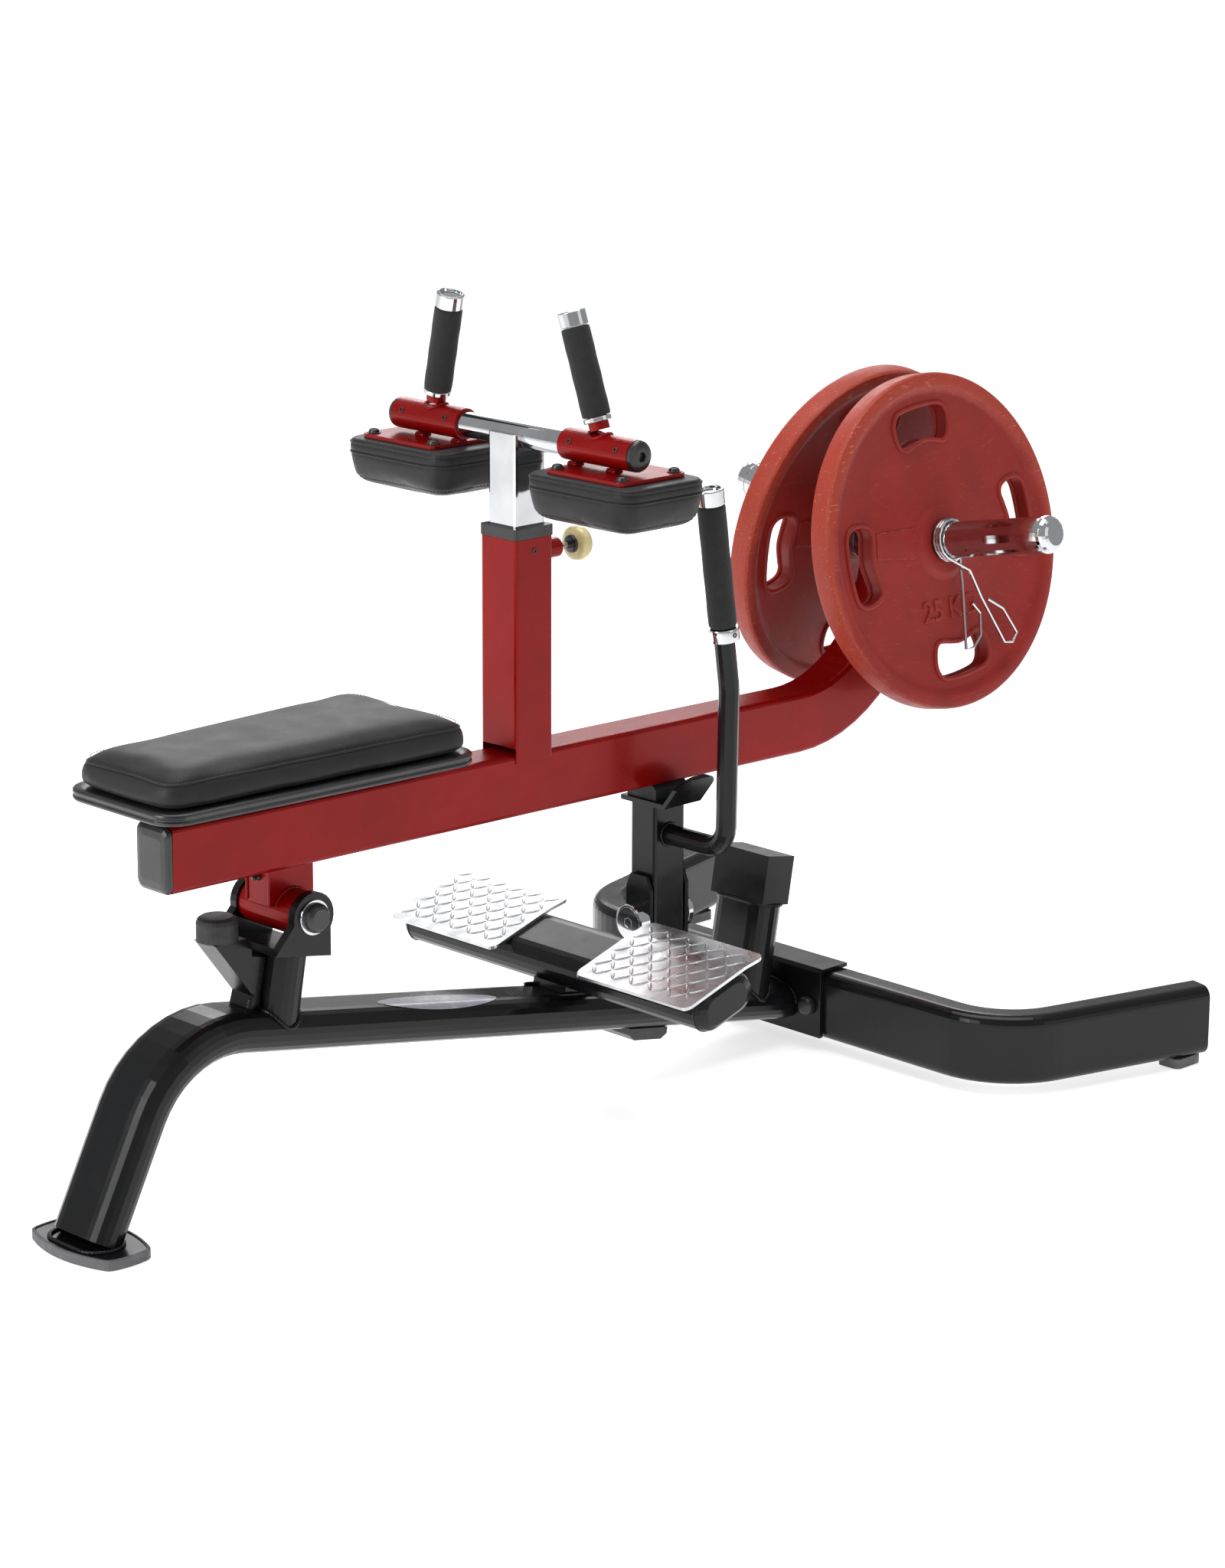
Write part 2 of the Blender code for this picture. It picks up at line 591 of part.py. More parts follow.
def build_seat():
    """Spacer bar on the beam, the board and a crowned cushion."""
    x0, x1 = -1235.0, -935.0
    side = [(x0, beam_z(x0, BEAM_H / 2 + GAP + 0.1)), (x1, beam_z(x1, BEAM_H / 2 + GAP + 0.1)),
            (x1, SEAT_Z - GAP), (x0, SEAT_Z - GAP)]
    slab("seat_spacer", side, "y", -27, 27, "red", LEVER_PIVOT)
    slab("seat_board", seat_outline(0), "z", SEAT_Z, SEAT_Z + 14, "vinyl", LEVER_PIVOT)
    z = SEAT_Z + 14 + GAP
    rings = []
    for grow, h in ((-5, 0), (-3, 6), (-3, 32), (-9, 37), (-26, 42), (-60, 46)):
        rings.append([(a, b, z + h) for a, b in seat_outline(grow, max(34 + grow, 12))])
    loft("seat_cushion", rings, "vinyl", pivot=LEVER_PIVOT)


def square_ring(half_x, half_y, hole, z0, z1):
    """Stations of an upright square tube, outer skin then inner skin."""
    out = []
    for hx, hy, z, r in ((half_x, half_y, z0, 4.0), (half_x, half_y, z1, 4.0),
                         (hole, hole, z1, 2.0), (hole, hole, z0, 2.0)):
        out.append([(POST_X + a, b, z) for a, b in rounded(2 * hx, 2 * hy, r, seg=2)])
    return out


def build_sleeve():
    z0, z1 = SLEEVE_Z
    wide = BEAM_W / 2 + GAP + CHEEK_T
    sleeve = loft("post_sleeve", square_ring(POST_OUT, wide, POST_IN + GAP, CHEEK_Z, z1), "red",
                  ring_closed=True, pivot=LEVER_PIVOT)
    boolean(sleeve, block("cut_saddle_slot", (POST_X - 40, POST_X + 40),
                          (-BEAM_W / 2 - GAP, BEAM_W / 2 + GAP), (CHEEK_Z - 9, z0), None))
    boolean(sleeve, turned("cut_plunger", (POST_X + 20, 0, PLUNGER_Z), (1, 0, 0),
                           [(5.3, 0), (5.3, 30)], None, n=14))
    loft("sleeve_collar", square_ring(POST_OUT + 1, wide + 1, POST_IN + GAP, z1 + GAP, z1 + 14),
         "plastic", ring_closed=True, pivot=LEVER_PIVOT)


def build_plunger():
    """Boss on the sleeve and the sprung pin with its ball knob."""
    x = POST_X + POST_OUT + GAP
    turned("plunger_boss", (x, 0, PLUNGER_Z), (1, 0, 0),
           [(12.5, 0), (12.5, 36), (5.3, 36), (5.3, 0)], "red", n=18, bored=True, pivot=LEVER_PIVOT)
    tip = POST_X + POST_IN + 2 * GAP
    outline = [(4.9, 0), (4.9, 65), (11, 65), (11, 68), (19, 69), (21.6, 73), (22, 78),
               (21, 84), (17, 89), (9, 91.5)]
    turned("plunger", (tip, 0, PLUNGER_Z), (1, 0, 0), outline, "cream", n=24)


def build_knee_post():
    """Square post notched round the cross tube, and the tube with its end plugs."""
    prof = [(POST_X + a, b) for a, b in rounded(2 * POST_IN, 2 * POST_IN, 4, seg=2)]
    post = slab("knee_post", prof, "z", POST_BOTTOM, KNEE_Z + 3.5, "chrome")
    boolean(post, turned("cut_cross_tube", (POST_X, -60, KNEE_Z), (0, 1, 0),
                         [(KNEE_R + GAP, 0), (KNEE_R + GAP, 120)], None, n=36))
    end = SLEEVE_Y[1] + GAP
    outline = dome(19, -end, -end - 8)[::-1] + [(KNEE_R, -end), (KNEE_R, end)]
    turned("knee_cross_tube", (POST_X, 0, KNEE_Z), (0, 1, 0),
           outline + dome(19, end, end + 8), "chrome", n=36)


def build_knee_side(side):
    """Red sleeve, pad bracket, pad and hand grip on one side."""
    y0, y1 = SLEEVE_Y
    bore = KNEE_R + GAP
    turned(side_name("pad_sleeve", side), (POST_X, side * y0, KNEE_Z), (0, side, 0),
           [(SLEEVE_R, 0), (SLEEVE_R, y1 - y0), (bore, y1 - y0), (bore, 0)], "red",
           n=36, bored=True)
    (x0, x1), (p0, p1), top = PAD_PLATE_X, PAD_PLATE_Y, PAD_PLATE_Z
    cx, cy = (x0 + x1) / 2, side * (p0 + p1) / 2
    plate = slab(side_name("pad_bracket", side),
                 [(cx + a, cy + b) for a, b in rounded(x1 - x0, p1 - p0, 10, seg=3)],
                 "z", top - 5, top, "red")
    for k, y in (("a", 105), ("b", 172)):
        lo, hi = sorted((side * (y - 7), side * (y + 7)))
        boolean(plate, block("add_lug_%s_%s" % (k, plate.name), (POST_X - 6, POST_X + 6),
                             (lo, hi), (top - 2, KNEE_Z - SLEEVE_R - GAP), None), "UNION")
    mid, cx = side * (PAD_Y[0] + PAD_Y[1]) / 2, (PAD_X[0] + PAD_X[1]) / 2
    rings = []
    for shrink, h in ((18, PAD_Z[0]), (6, PAD_Z[0] + 7), (0, PAD_Z[0] + 20),
                      (0, PAD_Z[1] - 8), (3, PAD_Z[1])):
        rings.append([(cx + a, mid + b, h) for a, b in
                      rounded(PAD_X[1] - PAD_X[0] - 2 * shrink, PAD_Y[1] - PAD_Y[0] - 2 * shrink,
                              26 - shrink * 0.5, seg=4)])
    loft(side_name("knee_pad", side), rings, "vinyl")
    build_hand_grip(side)


def build_hand_grip(side):
    """Stem welded on the sleeve, foam grip and cap, leaning inward."""
    way = Vector((-0.07, -side * math.sin(GRIP_LEAN), math.cos(GRIP_LEAN))).normalized()
    foot = Vector((POST_X, side * 147, KNEE_Z + SLEEVE_R + 4.4))
    turned(side_name("grip_stem", side), foot, way, [(12.5, 0), (12.5, 126)], "red", n=24)
    turned(side_name("hand_grip", side), foot + way * 16, way,
           [(17.5, 0), (17.5, 110), (12.9, 110), (12.9, 0)], "foam", n=24, bored=True)
    turned(side_name("grip_cap", side), foot + way * (126 + GAP), way,
           [(17.5, 0), (17.5, 17.5), (15.8, 19.5)], "chrome", n=24)


# ---------------------------------------------------------------- horns and plates

def horn_way(side):
    return Vector((0, side * math.cos(HORN_TILT), math.sin(HORN_TILT)))


def build_horn(side):
    base = (0, 0, HORN_Z)
    start = (BEAM_W / 2 + HORN_R * math.sin(HORN_TILT) + GAP) / math.cos(HORN_TILT) + 0.3
    stop = PLATE_FACE - PLATE_T - GAP
    outline = [(HORN_R, start), (HORN_R, 41), (38, 41), (38, stop), (HORN_R, stop)]
    outline += [(HORN_R, HORN_TIP - 14)]
    outline += dome(25.2, HORN_TIP - 13.5, HORN_TIP + 7, steps=4)
    turned(side_name("weight_horn", side), base, horn_way(side), outline, "chrome", n=28,
           pivot=LEVER_PIVOT)


GRIP_HOLE = [(-34, 182), (0, 184), (34, 182), (48, 176), (54, 164), (53, 148), (47, 134),
             (36, 129.5), (22, 133), (0, 137), (-22, 133), (-36, 129.5), (-47, 134),
             (-53, 148), (-54, 164), (-48, 176)]


def grip_hole(angle):
    """Outline of one kidney-shaped hand hole, on the plate face."""
    c, s = math.cos(math.radians(angle)), math.sin(math.radians(angle))
    return [(r * c - t * s, r * s + t * c) for t, r in GRIP_HOLE]


def build_plate(side):
    """Plate with raised rim and hub, centre bore and four hand holes."""
    way = horn_way(side)
    u = Vector((1, 0, 0))
    v = way.cross(u) * side
    inner, outer = PLATE_FACE - PLATE_T, PLATE_FACE
    web_in, web_out = inner + 6, outer - 6
    outline = [(BORE_R, inner), (44, inner), (50, web_in), (197, web_in), (203, inner),
               (221, inner), (PLATE_R, inner + 4), (PLATE_R, outer - 4), (221, outer),
               (205, outer), (201, web_out), (50, web_out), (44, outer), (BORE_R, outer)]
    name = side_name("weight_plate", side)
    plate = turned(name, (0, 0, HORN_Z), way, outline, "plate", n=56, bored=True)
    for i in range(4):
        rings = []
        for h in (inner - 10, outer + 10):
            c = Vector((0, 0, HORN_Z)) + way * h
            rings.append([tuple(c + u * a + v * b) for a, b in grip_hole(90 * i - 5)])
        boolean(plate, loft("cut_%s_%d" % (name, i), rings, None))


def build_clip(side):
    """Spring clip: a close coil on the horn and two looped finger legs."""
    way = horn_way(side)
    u = Vector((1, 0, 0))
    v = u.cross(way) if u.cross(way).z > 0 else way.cross(u)
    wire, r, pitch = 2.2, HORN_R + 3.0, 4.9
    start = PLATE_FACE + wire + 0.8
    first, last, n = math.radians(-15), math.radians(232 + 720), 40
    pts = []
    for i in range(n + 1):
        a = first + (last - first) * i / n
        pts.append((r * math.cos(a), r * math.sin(a), start + pitch * (a - first) / 2 / math.pi))
    top = pts[-1][2]
    lead = [(28, -89, 102), (41, -104, 102), (37, -134, 102), (20.4, -148, 102),
            (4.9, -148, 102), (16, -60, 99), (18.8, -36, 97)]
    trail = [(23.6, -44, top), (45, -82, 103), (83, -150, 102), (98.5, -152, 102),
             (110, -141, 102), (88, -105, 102), (59.5, -88, 102)]
    path = [Vector((0, 0, HORN_Z)) + u * a + v * b + way * h for a, b, h in lead + pts + trail]
    sweep(side_name("spring_clip", side), path, circle(wire, 6), "chrome", side=tuple(way))


def main():
    reset_scene()
    for step in (build_base_tube, build_front_foot, build_hinge_post, build_hinge_clevis,
                 build_hinge_pin, build_lift_stop, build_footrest, build_treads,
                 build_under_plate, build_stop_leg, build_cross_tube, build_cross_saddle,
                 build_catch_bracket, build_catch_post, build_catch_saddle,
                 build_catch_handle, build_beam, build_hinge_hub, build_seat, build_sleeve,
                 build_plunger, build_knee_post):
        step()
    for side in (NEAR, FAR):
        build_knee_side(side)
        build_horn(side)
        build_plate(side)
        build_clip(side)


main()
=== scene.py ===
"""Looks of the seated calf raise machine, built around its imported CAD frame.
Lengths are millimetres measured from the weight-horn axis, as in the CAD, and become
metres in at(). +X is the plate end, +Y the sitter's left, +Z up."""
import math

import bmesh
import bpy
import numpy as np
from mathutils import Matrix, Vector
from mathutils.bvhtree import BVHTree


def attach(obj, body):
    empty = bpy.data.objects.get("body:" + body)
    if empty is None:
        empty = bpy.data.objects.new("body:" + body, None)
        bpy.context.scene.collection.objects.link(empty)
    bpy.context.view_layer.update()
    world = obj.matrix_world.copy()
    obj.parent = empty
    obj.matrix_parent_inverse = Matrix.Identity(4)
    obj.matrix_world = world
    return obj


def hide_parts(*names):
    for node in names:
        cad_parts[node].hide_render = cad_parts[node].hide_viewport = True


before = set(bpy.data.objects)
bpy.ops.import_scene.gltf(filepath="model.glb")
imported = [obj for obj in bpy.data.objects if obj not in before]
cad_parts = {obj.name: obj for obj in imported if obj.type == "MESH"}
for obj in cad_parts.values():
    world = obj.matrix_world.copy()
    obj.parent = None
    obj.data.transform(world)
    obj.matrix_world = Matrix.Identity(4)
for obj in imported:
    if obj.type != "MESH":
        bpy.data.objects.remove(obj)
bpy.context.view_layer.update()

MM = 0.001
X_SHIFT, GROUND = 600.0, 4.5
NEAR, FAR = -1.0, 1.0


def at(x, y, z):
    return Vector(((x + X_SHIFT) * MM, y * MM, (z - GROUND) * MM))


def side_name(stem, side):
    return stem + ("_near" if side < 0 else "_far")


# ---------------------------------------------------------------- materials

class Look:
    """One Principled material and short calls for the nodes that feed it."""

    def __init__(self, name, rgb, rough, **fixed):
        self.mat = bpy.data.materials.new(name)
        self.mat.use_nodes = True
        self.tree = self.mat.node_tree
        self.bsdf = self.tree.nodes["Principled BSDF"]
        self.rgb = rgb
        self.set("Base Color", (*rgb, 1.0))
        self.set("Roughness", rough)
        for key, value in fixed.items():
            self.set(key.replace("_", " "), value)
        self.place = self.node("ShaderNodeTexCoord").outputs["Object"]

    def set(self, socket, value):
        """Put a number, a colour or another node's output on a Principled socket."""
        if isinstance(value, bpy.types.NodeSocket):
            self.tree.links.new(value, self.bsdf.inputs[socket])
        else:
            self.bsdf.inputs[socket].default_value = value

    def node(self, kind, inputs=None, **props):
        n = self.tree.nodes.new(kind)
        for key, value in props.items():
            setattr(n, key, value)
        for key, value in (inputs or {}).items():
            if isinstance(value, bpy.types.NodeSocket):
                self.tree.links.new(value, n.inputs[key])
            else:
                n.inputs[key].default_value = value
        return n

    def stretched(self, sx, sy, sz):
        return self.node("ShaderNodeMapping", {"Vector": self.place, "Scale": (sx, sy, sz)}
                         ).outputs["Vector"]

    def noise(self, size, detail=3.0, place=None, rough=0.55):
        """Noise whose features are about size millimetres across."""
        n = self.node("ShaderNodeTexNoise", {"Vector": place or self.place,
                                             "Scale": 1000.0 / size, "Detail": detail,
                                             "Roughness": rough})
        return n.outputs["Fac"]

    def cells(self, size, feature="F1", place=None):
        n = self.node("ShaderNodeTexVoronoi", {"Vector": place or self.place,
                                               "Scale": 1000.0 / size}, feature=feature)
        return n.outputs["Distance"]

    def span(self, fac, low, high, a=0.0, b=1.0):
        """Map low..high of fac onto a..b, clamped."""
        n = self.node("ShaderNodeMapRange", {"Value": fac, "From Min": low, "From Max": high,
                                             "To Min": a, "To Max": b})
        return n.outputs["Result"]

    def math(self, op, a, b=0.5):
        return self.node("ShaderNodeMath", {0: a, 1: b}, operation=op).outputs[0]

    def blend(self, fac, a, b):
        """Colour between a and b."""
        n = self.node("ShaderNodeMix", {0: fac, 6: a, 7: b}, data_type="RGBA")
        return n.outputs[2]

    def edge(self, radius, low=0.02, high=0.25):
        """1 on convex and concave edges of about radius millimetres, 0 on open faces."""
        soft = self.node("ShaderNodeBevel", {"Radius": radius * MM}, samples=4)
        geo = self.node("ShaderNodeNewGeometry").outputs["Normal"]
        dot = self.node("ShaderNodeVectorMath", {0: soft.outputs[0], 1: geo},
                        operation="DOT_PRODUCT").outputs["Value"]
        return self.span(self.math("SUBTRACT", 1.0, dot), low, high)

    def bump(self, height, depth, strength=1.0, normal=None):
        """Height map read as depth millimetres."""
        links = {"Height": height, "Distance": depth * MM, "Strength": strength}
        if normal:
            links["Normal"] = normal
        return self.node("ShaderNodeBump", links).outputs["Normal"]

    def round_edges(self, radius):
        return self.node("ShaderNodeBevel", {"Radius": radius * MM}, samples=4).outputs[0]


def shade(rgb, k):
    return tuple(min(1.0, c * k) for c in rgb) + (1.0,)


def enamel(name, rgb, rough, worn, metal, coat, edge_mm=1.2):
    """Sprayed gloss paint: flake, orange peel, slight colour drift and rubbed edges."""
    m = Look(name, rgb, rough, Metallic=metal, Coat_Weight=coat, Coat_Roughness=0.06,
             Specular_IOR_Level=0.22)
    drift = m.blend(m.span(m.noise(140), 0.3, 0.7), shade(rgb, 0.84), shade(rgb, 1.14))
    flake = m.span(m.cells(0.9), 0.08, 0.32, 1.0, 0.0)
    drift = m.blend(m.math("MULTIPLY", flake, 0.5), drift, shade(rgb, 2.1))
    chips = m.math("MULTIPLY", m.edge(edge_mm), m.span(m.noise(9, 5), 0.50, 0.72))
    m.set("Base Color", m.blend(m.math("MULTIPLY", chips, 0.55), drift, (*worn, 1.0)))
    m.set("Roughness", m.span(m.noise(34, 5), 0.3, 0.75, rough * 0.8, rough * 1.3))
    m.set("Normal", m.bump(m.noise(2.6, 2), 0.035, 0.5, m.round_edges(edge_mm)))
    return m.mat


def bright_chrome(name, rough=0.05):
    m = Look(name, (0.78, 0.79, 0.81), rough, Metallic=1.0)
    m.set("Base Color", m.blend(m.span(m.noise(60), 0.3, 0.7), (0.52, 0.53, 0.55, 1),
                                (0.64, 0.65, 0.67, 1)))
    smear = m.span(m.noise(22, 6), 0.45, 0.8, rough, rough + 0.10)
    m.set("Roughness", smear)
    m.set("Normal", m.bump(m.noise(14, 2), 0.05, 0.25, m.round_edges(0.8)))
    return m.mat


def tread_metal(name):
    """Rolled aluminium sheet: fine mill lines, bright rubbed spots and dull hollows."""
    m = Look(name, (0.80, 0.81, 0.82), 0.30, Metallic=1.0)
    lines = m.noise(0.9, 4, m.stretched(1.0, 0.04, 1.0))
    dull = m.span(m.noise(26, 5), 0.35, 0.7)
    m.set("Base Color", m.blend(dull, (0.66, 0.67, 0.68, 1), (0.52, 0.53, 0.55, 1)))
    m.set("Roughness", m.math("ADD", m.span(dull, 0, 1, 0.24, 0.40),
                              m.span(lines, 0.3, 0.7, -0.04, 0.06)))
    m.set("Normal", m.bump(lines, 0.03, 0.5, m.round_edges(0.7)))
    return m.mat


def leather(name, rgb):
    """Black upholstery vinyl with a pebbled grain and painted shade in the grain's crevices."""
    m = Look(name, rgb, 0.42, Specular_IOR_Level=0.28, Sheen_Weight=0.06, Sheen_Roughness=0.5)
    grain = m.span(m.cells(1.5, "DISTANCE_TO_EDGE", None), 0.0, 0.14)
    fine = m.noise(0.7, 3)
    relief = m.math("ADD", m.math("MULTIPLY", grain, 0.7), m.math("MULTIPLY", fine, 0.45))
    # Colour is darkened in the crevices between pebbles: painted shade in the grain.
    crevice_shaded_tone = m.blend(grain, shade(rgb, 0.55), shade(rgb, 1.1))
    m.set("Base Color", m.blend(m.span(m.noise(75, 3), 0.35, 0.7), crevice_shaded_tone, shade(rgb, 1.45)))
    m.set("Roughness", m.math("ADD", m.span(m.noise(42, 4), 0.3, 0.7, 0.36, 0.47),
                              m.span(grain, 0, 1, 0.12, 0.0)))
    m.set("Normal", m.bump(relief, 0.16, 0.65, m.bump(m.noise(28, 3), 0.5, 0.35)))
    return m.mat


def foam_rubber(name, rgb):
    """Closed-cell foam sleeve: pores with painted shade in their pits, matte skin and faint blotches.
    """
    m = Look(name, rgb, 0.88, Specular_IOR_Level=0.25, Sheen_Weight=0.10, Sheen_Roughness=0.6)
    pores = m.span(m.cells(0.8), 0.10, 0.45)
    # The pore pits are painted darker: painted shade inside the pores.
    m.set("Base Color", m.blend(pores, shade(rgb, 0.4), shade(rgb, 1.2)))
    m.set("Roughness", m.span(m.noise(11, 4), 0.3, 0.7, 0.80, 0.95))
    skin = m.math("ADD", m.math("MULTIPLY", pores, 0.8), m.noise(2.4, 4))
    m.set("Normal", m.bump(skin, 0.22, 0.7))
    return m.mat


def moulded(name, rgb, rough, pebble=0.8, depth=0.05, coat=0.0, edge_mm=1.0):
    """Moulded plastic or rubber with a fine pebble and a dusty bloom."""
    m = Look(name, rgb, rough, Coat_Weight=coat, Coat_Roughness=0.1)
    dusty = tuple(c * 1.5 + 0.006 for c in rgb)
    m.set("Base Color", m.blend(m.span(m.noise(19, 5), 0.48, 0.8), shade(rgb, 0.9),
                                (*dusty, 1.0)))
    m.set("Roughness", m.span(m.noise(24, 4), 0.3, 0.7, rough * 0.86, min(1, rough * 1.15)))
    m.set("Normal", m.bump(m.noise(pebble, 3), depth, 0.7, m.round_edges(edge_mm)))
    return m.mat


def coated_iron(name, rgb, rim_highlight):
    """Rubber-skinned disc: satin face, a paler outer band that is a painted highlight, scuffs heavier
    towards the edge, and rubbed lips.
    """
    m = Look(name, rgb, 0.46, Specular_IOR_Level=0.25)
    sep = m.node("ShaderNodeSeparateXYZ", {0: m.place}).outputs
    dx = m.math("SUBTRACT", sep[0], X_SHIFT * MM)
    dz = m.math("SUBTRACT", sep[2], 0.6465)
    r2 = m.math("ADD", m.math("MULTIPLY", dx, dx), m.math("MULTIPLY", dz, dz))
    radius = m.math("ADD", m.math("SQRT", r2), m.span(m.noise(30, 4), 0.3, 0.7, -0.003, 0.003))
    outer = m.span(radius, 0.208, 0.219)
    face = m.blend(m.span(m.noise(55, 4), 0.3, 0.7), shade(rgb, 0.88), shade(rgb, 1.13))
    # The outer band is painted paler than the face: a painted highlight for light falling on the
    # plate's edge.
    skin = m.blend(m.math("MULTIPLY", outer, 0.75), face, (*rim_highlight, 1.0))
    rubbed = m.math("MULTIPLY", m.edge(2.4, 0.015, 0.14), m.span(m.noise(7, 5), 0.42, 0.62))
    skin = m.blend(m.math("MULTIPLY", rubbed, 0.8), skin, (0.62, 0.17, 0.05, 1))
    streak = m.noise(3.0, 5, m.stretched(0.18, 1.0, 1.0))
    scuff = m.math("MULTIPLY", m.span(streak, 0.60, 0.72), m.span(outer, 0, 1, 0.12, 0.6))
    m.set("Base Color", m.blend(scuff, skin, (0.60, 0.24, 0.12, 1)))
    m.set("Roughness", m.span(m.noise(17, 5), 0.3, 0.75, 0.38, 0.55))
    m.set("Normal", m.bump(m.noise(1.4, 4), 0.07, 0.6, m.round_edges(1.5)))
    return m.mat


RED, BLACK = (0.22, 0.0010, 0.0008), (0.0045, 0.0048, 0.0055)
LOOKS = {
    "lever_red": enamel("red_enamel", RED, 0.30, (0.38, 0.02, 0.012), 0.30, 0.05),
    "frame_black": enamel("black_enamel", BLACK, 0.24, (0.05, 0.05, 0.05), 0.0, 0.10),
    "chrome": bright_chrome("bright_chrome"),
    "tread_plate": tread_metal("chequer_aluminium"),
    "rubber_black": moulded("black_rubber", (0.012, 0.012, 0.013), 0.62, 1.2, 0.08),
    "foot_grey": moulded("grey_rubber", (0.10, 0.10, 0.105), 0.66, 1.3, 0.09),
    # Its second colour is the paler outer band of the plates, a painted highlight.
    "plate_red": coated_iron("red_coated_iron", (0.26, 0.017, 0.013), (0.38, 0.052, 0.030)),
    "vinyl": leather("black_vinyl", (0.0085, 0.0085, 0.009)),
    "foam": foam_rubber("black_foam", (0.013, 0.013, 0.0135)),
    "plastic_black": moulded("black_plastic", (0.010, 0.010, 0.011), 0.34, 0.9, 0.03, 0.15),
    "knob_cream": moulded("cream_knob", (0.66, 0.56, 0.27), 0.27, 5.0, 0.04, 0.35),
}
CAD_LOOKS = {
    "lever_red": "lever_beam hinge_hub hinge_gusset grip_stem_near grip_stem_far "
                 "pad_bracket_near pad_bracket_far pad_sleeve_near pad_sleeve_far "
                 "plunger_boss post_sleeve seat_spacer",
    "frame_black": "base_tube bumper_bracket catch_bracket catch_handle catch_post "
                   "catch_saddle cross_saddle footrest_tube front_foot_plate hinge_clevis "
                   "hinge_post rear_cross_tube stop_block stop_leg",
    "chrome": "catch_shaft knee_post spring_clip_near spring_clip_far weight_horn_near "
              "weight_horn_far catch_grip_cap grip_cap_near grip_cap_far knee_cross_tube",
    "tread_plate": "foot_plate_near foot_plate_far",
    "rubber_black": "catch_pad lift_bumper",
    "foot_grey": "front_foot_pad rear_foot_near rear_foot_far",
    "plastic_black": "beam_end_cap hinge_pin saddle_bolt_near saddle_bolt_far "
                     "sleeve_collar under_plate",
    "knob_cream": "plunger",
    "plate_red": "weight_plate_near weight_plate_far",
    "vinyl": "seat_board seat_cushion knee_pad_near knee_pad_far",
    "foam": "hand_grip_near hand_grip_far catch_grip",
}
for slot_name, members in CAD_LOOKS.items():
    for member in members.split():
        for cad_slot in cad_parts[member].material_slots:
            cad_slot.material = LOOKS[slot_name]


# ---------------------------------------------------------------- mesh helpers

def outward(obj):
    """Weld close vertices and turn every face outward."""
    bm = bmesh.new()
    bm.from_mesh(obj.data)
    bmesh.ops.remove_doubles(bm, verts=bm.verts, dist=0.000005)
    bmesh.ops.recalc_face_normals(bm, faces=bm.faces)
    bm.to_mesh(obj.data)
    bm.free()


def settle(obj, body, slot, *stands_for, look=None, angle=38):
    """Finish a piece: outward normals, smooth shading up to angle, the slot's material, its body, and
    hidden CAD parts it stands for.
    """
    outward(obj)
    mesh = obj.data
    mesh.shade_smooth()
    mesh.set_sharp_from_angle(angle=math.radians(angle))
    mesh.materials.clear()
    mesh.materials.append(look or LOOKS[slot])
    if obj.name not in bpy.context.scene.collection.objects:
        bpy.context.scene.collection.objects.link(obj)
    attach(obj, body)
    if stands_for:
        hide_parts(*stands_for)
    return obj


def loft(name, rings, closed=False):
    """Skin equal rings of points, capped at both ends or joined end to start."""
    count = len(rings[0])
    verts = [at(*p) for ring in rings for p in ring]
    faces = []
    for i in range(len(rings) if closed else len(rings) - 1):
        j = (i + 1) % len(rings)
        for k in range(count):
            m = (k + 1) % count
            faces.append((i * count + k, i * count + m, j * count + m, j * count + k))
    if not closed:
        faces.append(tuple(range(count - 1, -1, -1)))
        faces.append(tuple((len(rings) - 1) * count + k for k in range(count)))
    mesh = bpy.data.meshes.new(name)
    mesh.from_pydata(verts, [], faces)
    return bpy.data.objects.new(name, mesh)


def circle(r, n=24):
    return [(r * math.cos(2 * math.pi * i / n), r * math.sin(2 * math.pi * i / n))
            for i in range(n)]


def rounded(w, h, r, seg=4):
    pts = []
    for cx, cy, start in ((1, 1, 0), (-1, 1, 90), (-1, -1, 180), (1, -1, 270)):
        for i in range(seg + 1):
            a = math.radians(start + 90.0 * i / seg)
            pts.append((cx * (w / 2 - r) + r * math.cos(a), cy * (h / 2 - r) + r * math.sin(a)))
    return pts


def square_to(axis):
    """Two unit vectors across an axis."""
    axis = Vector(axis).normalized()
    ref = Vector((1, 0, 0)) if abs(axis.x) < 0.9 else Vector((0, 0, 1))
    u = (ref - axis * ref.dot(axis)).normalized()
    return axis, u, axis.cross(u)


def turned(name, origin, axis, outline, n=40, bored=False):
    """Body of revolution through (radius, height) stations."""
    axis, u, v = square_to(axis)
    rings = []
    for r, h in outline:
        c = Vector(origin) + axis * h
        rings.append([tuple(c + u * a + v * b) for a, b in circle(max(r, 0.02), n)])
    return loft(name, rings, bored)


def along(path, closed=False):
    """Points, tangents and carried side vectors of a path."""
    pts = [Vector(p) for p in path]
    n = len(pts)
    out, side = [], None
    for i, p in enumerate(pts):
        a = pts[i - 1] if closed or i else pts[0]
        b = pts[(i + 1) % n] if closed or i < n - 1 else pts[-1]
        t = (b - a).normalized()
        if side is None:
            side = square_to(t)[1]
        side = (side - t * side.dot(t)).normalized()
        out.append((p, side.copy(), side.cross(t)))
    return out


def cord(name, path, radius, closed=False, n=8, flat=1.0):
    """Round bead along a path; radius is a number or a function of the point's index."""
    rings = []
    for i, (p, s, u) in enumerate(along(path, closed)):
        r = radius(i) if callable(radius) else radius
        rings.append([tuple(p + s * a + u * b * flat) for a, b in circle(r, n)])
    return loft(name, rings, closed)


